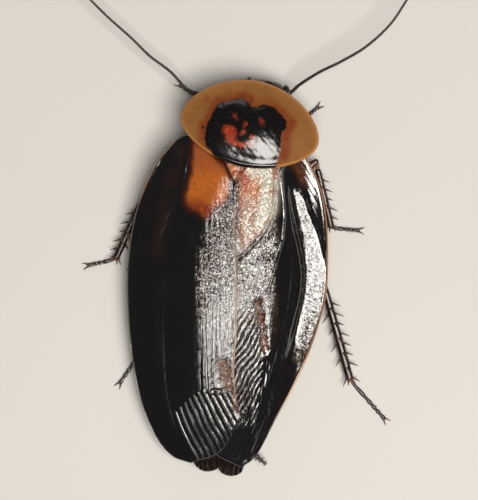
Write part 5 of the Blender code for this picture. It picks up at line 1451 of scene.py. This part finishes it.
# The way of each feeler from its socket to its tip.
FEELERS = {
    LEFT: [(2.0, 33.7, 1.8), (0.9, 33.6, 1.8), (-0.7, 33.3, 2.8), (-3.4, 32.6, 3.9), (-7.2, 32.5, 4.7),
           (-10.4, 35.1, 5.2), (-13.5, 37.1, 5.5), (-16.1, 39.3, 5.6), (-20.7, 42.9, 5.7), (-25.3, 47.2, 5.6),
           (-29.2, 52.2, 5.3), (-32.4, 58.0, 4.9)],
    RIGHT: [(5.4, 33.25, 1.8), (6.3, 33.3, 1.8), (7.3, 33.5, 2.7), (8.5, 34.6, 4.3), (11.3, 36.6, 5.2),
            (14.1, 38.2, 5.5), (17.6, 40.6, 5.7), (20.9, 44.1, 5.8), (23.1, 47.9, 5.7), (25.6, 52.6, 5.5),
            (29.0, 57.0, 5.2), (33.0, 60.4, 4.8)],
}
SCAPE_SHARE, PEDICEL_SHARE = 0.045, 0.06
SCAPE_SECTIONS = [(0, 0.3, 0.3), (0.15, 0.42, 0.42), (0.6, 0.47, 0.46), (1, 0.36, 0.36)]
PEDICEL_SECTIONS = [(0, 0.26, 0.26), (0.5, 0.36, 0.36), (1, 0.3, 0.3)]
# One ring of a feeler: height along it and radius, as shares.
FEELER_RING = [(-0.5, 0.72), (-0.42, 0.8), (0.0, 0.93), (0.32, 1.05), (0.46, 1.0), (0.52, 0.8)]


class COCKROACH_OT_feelers(CockroachStep, bpy.types.Operator):
    """Builds the antennae: scape, pedicel and a whip of short rings"""

    bl_idname = "cockroach.feelers"
    bl_label = "Feelers"

    def build(self, sizes, colours):
        horn = cuticle("feeler_horn", "#150C07", "#33200F", 0.5, pit=0.05)
        skin_finish = soft_skin("feeler_skin")
        height, girth = np.array(FEELER_RING).T
        core = np.stack([0 * height, 0 * height, height], axis=-1)
        ring = closed_loft(sweep(core, girth, girth, 9, up=AHEAD_OF_SHAPE))
        for side, name in SIDES.items():
            places = FEELERS[side]
            path = route(places)
            length = sum(np.linalg.norm(np.subtract(b, a)) for a, b in zip(places, places[1:]))
            feeler = Skin()
            socket = head_point(side * FEELER_SOCKET[0], FEELER_SOCKET[1], FEELER_SOCKET[2])
            elbow = path(SCAPE_SHARE)
            form, dark = limb(socket, elbow, SCAPE_SECTIONS, 26, 20, (0.2, 0.2), up=HEAD_CROWN)
            feeler.add(form, 0, edge=dark * 0.5)
            feeler.add(egg(elbow, np.eye(3), (0.3, 0.3, 0.3), 8, 12), 1)
            form, dark = limb(elbow, path(PEDICEL_SHARE), PEDICEL_SECTIONS, 16, 18, (0.15, 0.15))
            feeler.add(form, 0, edge=dark * 0.5)
            places_along = [PEDICEL_SHARE + 0.002]
            while places_along[-1] < 0.996:
                places_along.append(places_along[-1] + (0.26 + 0.3 * places_along[-1]) / length)
            share = np.array(places_along)
            middle = (share[1:] + share[:-1]) / 2
            aims = path(np.minimum(middle + 0.002, 1)) - path(middle - 0.002)
            radius = 0.26 - 0.13 * middle
            sizes_along = np.stack([radius, radius, np.diff(share) * length], axis=-1)
            rings = planted("rings_" + name, path(middle), aims, sizes_along, ring, horn, 3, 0.02)
            tip, dark = limb(path(0.99), path(1.0), [(0, 0.15, 0.15), (1, 0.1, 0.1)], 10, 12, (0.1, 0.15))
            feeler.add(tip, 0, edge=dark)
            turn = np.arange(len(middle)) * 2.4
            normal = unit(np.cross(aims, UP))
            upright = np.cross(unit(aims), normal)
            out = spokes(normal, upright, turn)
            roots, lengths = path(middle) + out * radius[:, None] * 0.9, np.full(len(middle), 0.34)
            hairs = planted("feeler_hairs_" + name, roots, out + unit(aims) * 1.1, lengths, bristle_shape(),
                            horn, 4, 0.3)
            feeler.make("feeler_" + name, [horn, skin_finish], ["antenna_" + name], "feelers", [rings, hairs])


CERCUS_TIPS = {LEFT: (-6.4, -20.5, 2.2), RIGHT: (7.6, -21.0, 2.2)}
CERCUS_START = (3.2, -0.7, 2.4)
CERCUS_JOINTS = 8
CERCUS_SECTIONS = [(0, 0.8, 0.5), (0.6, 1.04, 0.64), (1, 0.96, 0.58)]


class COCKROACH_OT_tail_feelers(CockroachStep, bpy.types.Operator):
    """Builds the cerci: flattened, ringed and set with fine hairs"""

    bl_idname = "cockroach.tail_feelers"
    bl_label = "Tail feelers"

    def build(self, sizes, colours):
        horn = cuticle("cercus_horn", "#1E1009", "#4A2A16", 0.38, pit=0.06)
        for side, name in SIDES.items():
            across, behind, height = CERCUS_START
            start = np.array((side * (across - 0.3), ABDOMEN_REAR + behind + 0.9, height))
            end = np.array(CERCUS_TIPS[side])
            cercus = Skin()
            roots, aims = [], []
            ahead = unit(end - start)
            beside = unit(np.cross(ahead, UP))
            for joint in range(CERCUS_JOINTS):
                near, far = (start + (end - start) * share
                             for share in (joint / CERCUS_JOINTS - 0.01, (joint + 1) / CERCUS_JOINTS + 0.01))
                half = 0.62 - 0.42 * ((joint + 0.5) / CERCUS_JOINTS) ** 1.3
                sections = [(share, half * wide, half * tall) for share, wide, tall in CERCUS_SECTIONS]
                form, dark = limb(near, far, sections, 14, 20, (0.12, 0.12))
                cercus.add(form, 0, edge=dark * 0.5)
                for turn in np.linspace(0.2, 6.0, 9):
                    out = beside * math.cos(turn) + UP * math.sin(turn) * 0.6
                    roots.append((near + far) / 2 + out * half * 0.9 + ahead * 0.1 * math.sin(turn * 3))
                    aims.append(out + ahead * 0.7)
            hairs = planted("cercus_hairs_" + name, roots, aims, np.full(len(roots), 0.55), bristle_shape(),
                            horn, 5, 0.35)
            cercus.make("tail_feeler_" + name, [horn], ["cercus_" + name], "legs", [hairs])


# Of each leg: its base in plan, hip, ankle, toe in plan and the knee's tilt in degrees.
LEGS = {
    ("fore", RIGHT): ((4.0, 27.3), (3.8, 24.0, 1.9), (8.4, 28.8, 1.05), (12.2, 32.4), 40),
    ("fore", LEFT): ((-0.8, 27.8), (-1.5, 24.4, 1.9), (-5.2, 31.4, 1.05), (-9.7, 34.0), 30),
    ("mid", RIGHT): ((3.0, 22.1), (4.2, 17.4, 1.7), (14.7, 14.2, 1.05), (19.7, 14.1), 14),
    ("mid", LEFT): ((-3.9, 22.0), (-3.3, 17.3, 1.7), (-16.6, 7.3, 1.05), (-21.4, 5.9), 14),
    ("hind", RIGHT): ((4.2, 15.7), (3.4, 10.6, 1.7), (19.06, -7.9, 1.05), (25.2, -13.9), 10),
    ("hind", LEFT): ((-4.2, 15.7), (-3.4, 10.6, 1.7), (-10.85, -4.1, 1.05), (-15.1, -11.6), 10),
}
# Length of thigh and shin, girth, spines in a row and height of the hip plate's base.
LEG_SIZES = {"fore": (6.2, 4.7, 0.85, 3, 2.75), "mid": (9.9, 10.2, 0.95, 5, 2.55),
             "hind": (11.2, 15.5, 1.1, 7, 2.55)}
HIP_RADIUS, HIP_FOLD_ROOM, KNEE_FOLD_ROOM, JOINT_RADIUS = 0.62, 0.34, 0.24, 0.42
COXA_HALF_WIDTH, COXA_HALF_HEIGHT = 2.45, 0.75
FEMUR_HALF_WIDTH, FEMUR_HALF_HEIGHT, TIBIA_HALF_WIDTH = 1.2, 0.66, 0.5
COXA_SECTIONS = [(0.0, 0.75, 0.8), (0.12, 1.0, 1.0), (0.4, 0.84, 1.0), (0.7, 0.45, 0.95)]
FEMUR_SECTIONS = [(0.0, 0.45, 0.7), (0.12, 0.6, 0.8), (0.2, 0.8, 0.95), (0.45, 1.0, 1.0), (0.75, 0.75, 0.9)]
HIP_PEG_SECTIONS = [(0, 0.45, 0.45), (0.5, 0.56, 0.52), (1, 0.4, 0.4)]
KNOB_SECTIONS = [(0.93, 1.1), (0.98, 1.0), (1.0, 0.9)]
TIBIA_SECTIONS = [(0.0, 0.8, 0.8), (0.08, 0.95, 0.9), (0.5, 1.1, 1.0), (0.93, 1.1, 1.05), (1.0, 1.0, 1.0)]
SPINE_LENGTH, SPINE_GIRTH, SPUR_LENGTH, SPINE_LEAN = 1.15, 1.25, 1.25, math.radians(38)
SPINE_ROWS = [0, 75, 180]
SPUR_ANGLES = [15, 65, 115, 165]
TARSUS_JOINTS = [0.42, 0.6, 0.74, 0.85, 1.0]
TARSUS_SECTIONS = [(0, 0.17, 0.16), (0.25, 0.22, 0.2), (0.8, 0.31, 0.24), (1, 0.27, 0.2)]
CLAW_LENGTH, TARSUS_SET_OFF = 0.95, 0.25
CLAW_BEND = [(0, (0, 0.1, 0)), (0.35, (0.3, 0.22, 0.08)), (0.7, (0.72, 0.38, 0.02)), (1, (1.02, 0.5, -0.2))]
THIGH_HAIRS, THIGH_SPINES, SHIN_HAIRS = 46, 4, 70


def outward_of(ahead, side):
    """The level direction square to a limb, away from the body."""
    across = unit(np.cross(ahead, UP))
    return across if across[0] * side > 0 else -across


def upward_of(outward, ahead):
    """The direction out of a limb's upper face."""
    rise = np.cross(outward, ahead)
    return rise if rise[2] > 0 else -rise


def knee_of(hip, ankle, femur, tibia, tilt, side):
    """The knee of a bent leg: out from the line from hip to ankle, and up by the tilt."""
    line = ankle - hip
    reach = min(np.linalg.norm(line), (femur + tibia) * 0.995)
    ahead = unit(line)
    along = (femur ** 2 - tibia ** 2 + reach ** 2) / (2 * reach)
    off = math.sqrt(femur ** 2 - along ** 2)
    outward = outward_of(ahead, side)
    return hip + ahead * along + off * (outward * math.cos(tilt) + upward_of(outward, ahead) * math.sin(tilt))


class COCKROACH_OT_legs(CockroachStep, bpy.types.Operator):
    """Builds the six legs: hip plate, thigh, spiny shin and jointed foot"""

    bl_idname = "cockroach.legs"
    bl_label = "Legs"

    def build(self, sizes, colours):
        self.shell = cuticle("leg_shell", "#130906", "#2E160B", 0.24)
        self.thigh_shell = cuticle("thigh_shell", "#241108", "#52280F", 0.28)
        self.horn = cuticle("spine_horn", "#1A0B05", "#4E240E", 0.25, pit=0.05)
        self.skin = soft_skin("leg_skin")
        self.pad = soft_skin("foot_pad")
        for (kind, side), (base, hip, ankle, toe, tilt) in LEGS.items():
            femur, tibia, girth, spines, base_height = LEG_SIZES[kind]
            name, seed = "_" + kind + "_" + SIDES[side], len(kind) * 10 + side
            draw = np.random.default_rng(seed + 500)
            base, toe = np.array((*base, base_height)), np.array((*toe, 0.0))
            hip, ankle = np.array(hip), np.array(ankle)
            knee = knee_of(hip, ankle, femur, tibia, math.radians(tilt), side)
            ahead, shin_ahead = unit(knee - hip), unit(ankle - knee)
            hip_room = HIP_RADIUS + GAP + HIP_FOLD_ROOM * (1 - ahead @ unit(hip - base))
            knee_room = JOINT_RADIUS * girth + GAP + KNEE_FOLD_ROOM * (1 - shin_ahead @ ahead)
            thigh_start, shin_start = hip + ahead * hip_room, knee + shin_ahead * knee_room
            self.hip_plate(name, girth, base, hip)
            self.thigh(name, side, girth, (hip, thigh_start, knee, shin_start), draw, seed)
            self.shin(name, side, girth, spines, shin_start, ankle, draw, seed)
            self.foot(name, ankle, toe, shin_ahead, seed)

    def hairs(self, name, roots, aims, length, seed):
        return planted(name, roots, aims, np.full(len(roots), length), bristle_shape(), self.horn, seed, 0.3)

    def hip_plate(self, name, girth, base, hip):
        """The broad coxa, narrowing to the hip, on a cushion of soft skin."""
        plate = COXA_HALF_WIDTH * girth
        sections = [(share, plate * wide, COXA_HALF_HEIGHT * tall) for share, wide, tall in COXA_SECTIONS]
        sections += [(0.9, HIP_RADIUS, HIP_RADIUS), (1.0, HIP_RADIUS * 0.9, HIP_RADIUS * 0.9)]
        hip_plate = Skin()
        form, dark = limb(base, hip - UP * 0.1, sections, 50, 40, (0.7, 0.5), power=2.4)
        hip_plate.add(form, 0, edge=dark * 0.5)
        hip_plate.add(egg(base + UP * 0.45, np.eye(3), (plate * 0.8, plate * 0.55, 0.7), 10, 24), 1)
        hip_plate.make("hip" + name, [self.thigh_shell, self.skin], ["leg" + name + "_coxa"], "legs")

    def thigh(self, name, side, girth, places, draw, seed):
        """The flattened femur with its peg at the hip, the soft skin of both joints, hairs and low spines."""
        hip, start, knee, shin_start = places
        ahead, shin_ahead = unit(knee - hip), unit(shin_start - knee)
        outward = outward_of(ahead, side)
        rise = upward_of(outward, ahead)
        knob, wide, tall = (size * girth for size in (JOINT_RADIUS, FEMUR_HALF_WIDTH, FEMUR_HALF_HEIGHT))
        end = knee + ahead * knob
        sections = [(share, wide * w, tall * h) for share, w, h in FEMUR_SECTIONS]
        sections += [(share, knob * size, knob * size) for share, size in KNOB_SECTIONS]
        half = spline([(share, (w, h)) for share, w, h in sections])
        thigh = Skin()
        form, dark = limb(start - ahead * 0.1, end, sections, 54, 28, (0.45, 0.3), power=2.2)
        thigh.add(form, 0, edge=dark * 0.7)
        form, dark = limb(hip, start + ahead * 0.45, HIP_PEG_SECTIONS, 20, 20, (0.3, 0.3))
        thigh.add(form, 0, edge=dark * 0.6)
        thigh.add(egg(hip - UP * 0.05, np.eye(3), (0.5, 0.5, 0.48), 10, 16), 1)
        knee_skin = [(0, 0.3 * girth, 0.28 * girth), (1, 0.3 * girth, 0.3 * girth)]
        thigh.add(limb(knee + ahead * knob * 0.4, shin_start + shin_ahead * 0.2, knee_skin, 14, 16,
                       (0.2, 0.2))[0], 1)
        share, angle = draw.uniform(0.12, 0.95, THIGH_HAIRS), draw.uniform(0, 2 * math.pi, THIGH_HAIRS)
        roots = start + (end - start) * share[:, None] + 0.95 * spokes(
            outward * half(share)[:, :1], rise * half(share)[:, 1:], angle)
        hairs = self.hairs("thigh_hairs" + name, roots, spokes(outward, rise, angle) + ahead * 0.9, 0.5,
                           seed + 1)
        lower = np.linspace(0.3, 0.86, THIGH_SPINES)
        roots = start + (end - start) * lower[:, None] - rise * half(lower)[:, 1:] * 0.8 + outward * 0.2
        aims, lengths = np.tile(ahead - rise * 0.7, (THIGH_SPINES, 1)), np.full(THIGH_SPINES, 0.75 * girth)
        spines = planted("thigh_spines" + name, roots, aims, lengths, spine_shape(), self.horn, seed + 2, 0.1)
        finishes = [self.thigh_shell, self.skin, self.horn]
        thigh.make("thigh" + name, finishes, ["leg" + name + "_femur"], "legs", [hairs, spines])

    def shin(self, name, side, girth, spines, start, ankle, draw, seed):
        """The tibia with rows of strong spines, spurs round its end, and hairs."""
        shin, half = Skin(), TIBIA_HALF_WIDTH * girth
        sections = [(share, half * w, half * h) for share, w, h in TIBIA_SECTIONS]
        form, dark = limb(start, ankle, sections, 60, 24, (0.35, 0.25), power=2.2)
        shin.add(form, 0, edge=dark * 0.8)
        ahead, length = unit(ankle - start), np.linalg.norm(ankle - start)
        outward = outward_of(ahead, side)
        rise = upward_of(outward, ahead)
        roots, aims, lengths = [], [], []
        for row, degrees in enumerate(SPINE_ROWS):
            out = spokes(outward, rise, math.radians(degrees))
            count = spines if row == 0 else spines - 2
            for index in range(count):
                along = 0.2 + 0.62 * (index + 0.33 * row) / max(count - 1, 1)
                if along <= 0.88:
                    roots.append(start + ahead * length * along + out * half * 0.85)
                    aims.append(out * math.cos(SPINE_LEAN) + ahead * math.sin(SPINE_LEAN))
                    lengths.append(SPINE_LENGTH * girth * (1 + 0.2 * math.sin(2.4 * index + row))
                                   + half * 0.3)
        for degrees in SPUR_ANGLES:
            out = spokes(outward, rise, math.radians(degrees))
            roots.append(start + ahead * (length - 0.35) + out * half * 0.8)
            aims.append(out + ahead)
            lengths.append(SPUR_LENGTH * girth)
        girths = np.full(len(roots), SPINE_GIRTH * girth)
        sizes = np.stack([girths, girths, lengths], axis=-1)
        spine_set = planted("shin_spines" + name, roots, aims, sizes, spine_shape(), self.horn, seed + 3,
                            0.04)
        share, angle = draw.uniform(0.08, 0.97, SHIN_HAIRS), draw.uniform(0, 2 * math.pi, SHIN_HAIRS)
        out = spokes(outward, rise, angle)
        roots = start + (ankle - start) * share[:, None] + out * half * 0.95
        hairs = self.hairs("shin_hairs" + name, roots, out + ahead, 0.42, seed + 4)
        finishes = [self.shell, self.skin, self.horn]
        shin.make("shin" + name, finishes, ["leg" + name + "_tibia"], "legs", [spine_set, hairs])

    def foot(self, name, ankle, toe, shin_ahead, seed):
        """The tarsus: five joints on soft pads, edged with bristles, and two hooked claws."""
        foot = Skin()
        ahead = (toe - ankle) * np.array((1, 1, 0))
        length = np.linalg.norm(ahead) - CLAW_LENGTH - TARSUS_SET_OFF
        ahead = unit(ahead)
        beside = np.cross(ahead, UP)
        axes = (ahead, beside, UP)
        start = ankle * np.array((1, 1, 0)) + ahead * TARSUS_SET_OFF
        heel = [(0, 0.24, 0.24), (1, 0.2, 0.2)]
        foot.add(limb(ankle - shin_ahead * 0.15, start + ahead * 0.35 + UP * 0.3, heel, 14, 14,
                      (0.15, 0.15))[0], 1)
        roots, aims = [], []
        for number, (before, joint) in enumerate(zip([0.0, *TARSUS_JOINTS], TARSUS_JOINTS)):
            near = start + ahead * (before * length + 0.03) + UP * 0.34
            far = start + ahead * (joint * length + 0.06) + UP * 0.29
            form, dark = limb(near, far, TARSUS_SECTIONS, 24, 18, (0.14, 0.14))
            foot.add(form, 0, edge=dark * 0.6)
            if number < len(TARSUS_JOINTS) - 1:
                foot.add(egg(far - ahead * 0.22 - UP * 0.17, axes, (0.26, 0.2, 0.118), 8, 14), 2)
            for turn in SIDES:
                roots += [near * 0.4 + far * 0.6 + beside * turn * 0.25,
                          far + beside * turn * 0.24 - UP * 0.06]
                aims += [beside * turn + ahead * 0.9, beside * turn * 0.7 + ahead - UP * 0.2]
        claw_root = start + ahead * (length - 0.1) + UP * 0.3
        foot.add(egg(claw_root + ahead * 0.16 - UP * 0.08, axes, (0.26, 0.17, 0.12), 8, 12), 2)
        bend, girth = spline(CLAW_BEND)(np.linspace(0, 1, 16)), np.linspace(0.15, 0.03, 16)
        for turn in SIDES:
            path = claw_root + ahead * bend[:, :1] + beside * turn * bend[:, 1:2] + UP * bend[:, 2:]
            foot.add(closed_loft(sweep(path, girth, girth * 1.15, 10)), 3)
        hairs = self.hairs("foot_hairs" + name, roots, aims, 0.32, seed + 5)
        finishes = [self.shell, self.skin, self.pad, self.horn]
        foot.make("foot" + name, finishes, ["leg" + name + "_tarsus"], "legs", [hairs])


class COCKROACH_PT_panel(bpy.types.Panel):
    """Lists the steps of the build, its sizes and its colours"""

    bl_label = "Deaths head cockroach"
    bl_idname = "COCKROACH_PT_panel"
    bl_space_type = "VIEW_3D"
    bl_region_type = "UI"
    bl_category = "Cockroach"

    def draw(self, context):
        for step in STEPS:
            self.layout.operator(step.bl_idname)
        for group in (context.scene.cockroach_sizes, context.scene.cockroach_colours):
            box = self.layout.box()
            for key in group.bl_rna.properties.keys():
                if key not in ("name", "rna_type"):
                    box.prop(group, key)


STEPS = [COCKROACH_OT_stage, COCKROACH_OT_shield, COCKROACH_OT_forewings, COCKROACH_OT_hind_wings,
         COCKROACH_OT_trunk, COCKROACH_OT_head, COCKROACH_OT_eyes, COCKROACH_OT_mouthparts,
         COCKROACH_OT_feelers, COCKROACH_OT_tail_feelers, COCKROACH_OT_legs]
CLASSES = [CockroachSizes, CockroachColours, *STEPS, COCKROACH_PT_panel]


def register():
    for item in CLASSES:
        bpy.utils.register_class(item)
    bpy.types.Scene.cockroach_sizes = bpy.props.PointerProperty(type=CockroachSizes)
    bpy.types.Scene.cockroach_colours = bpy.props.PointerProperty(type=CockroachColours)


def unregister():
    del bpy.types.Scene.cockroach_colours
    del bpy.types.Scene.cockroach_sizes
    for item in reversed(CLASSES):
        bpy.utils.unregister_class(item)


def main():
    register()
    for step in STEPS:
        getattr(bpy.ops.cockroach, step.bl_idname.split(".")[1])()


if __name__ == "__main__":
    main()
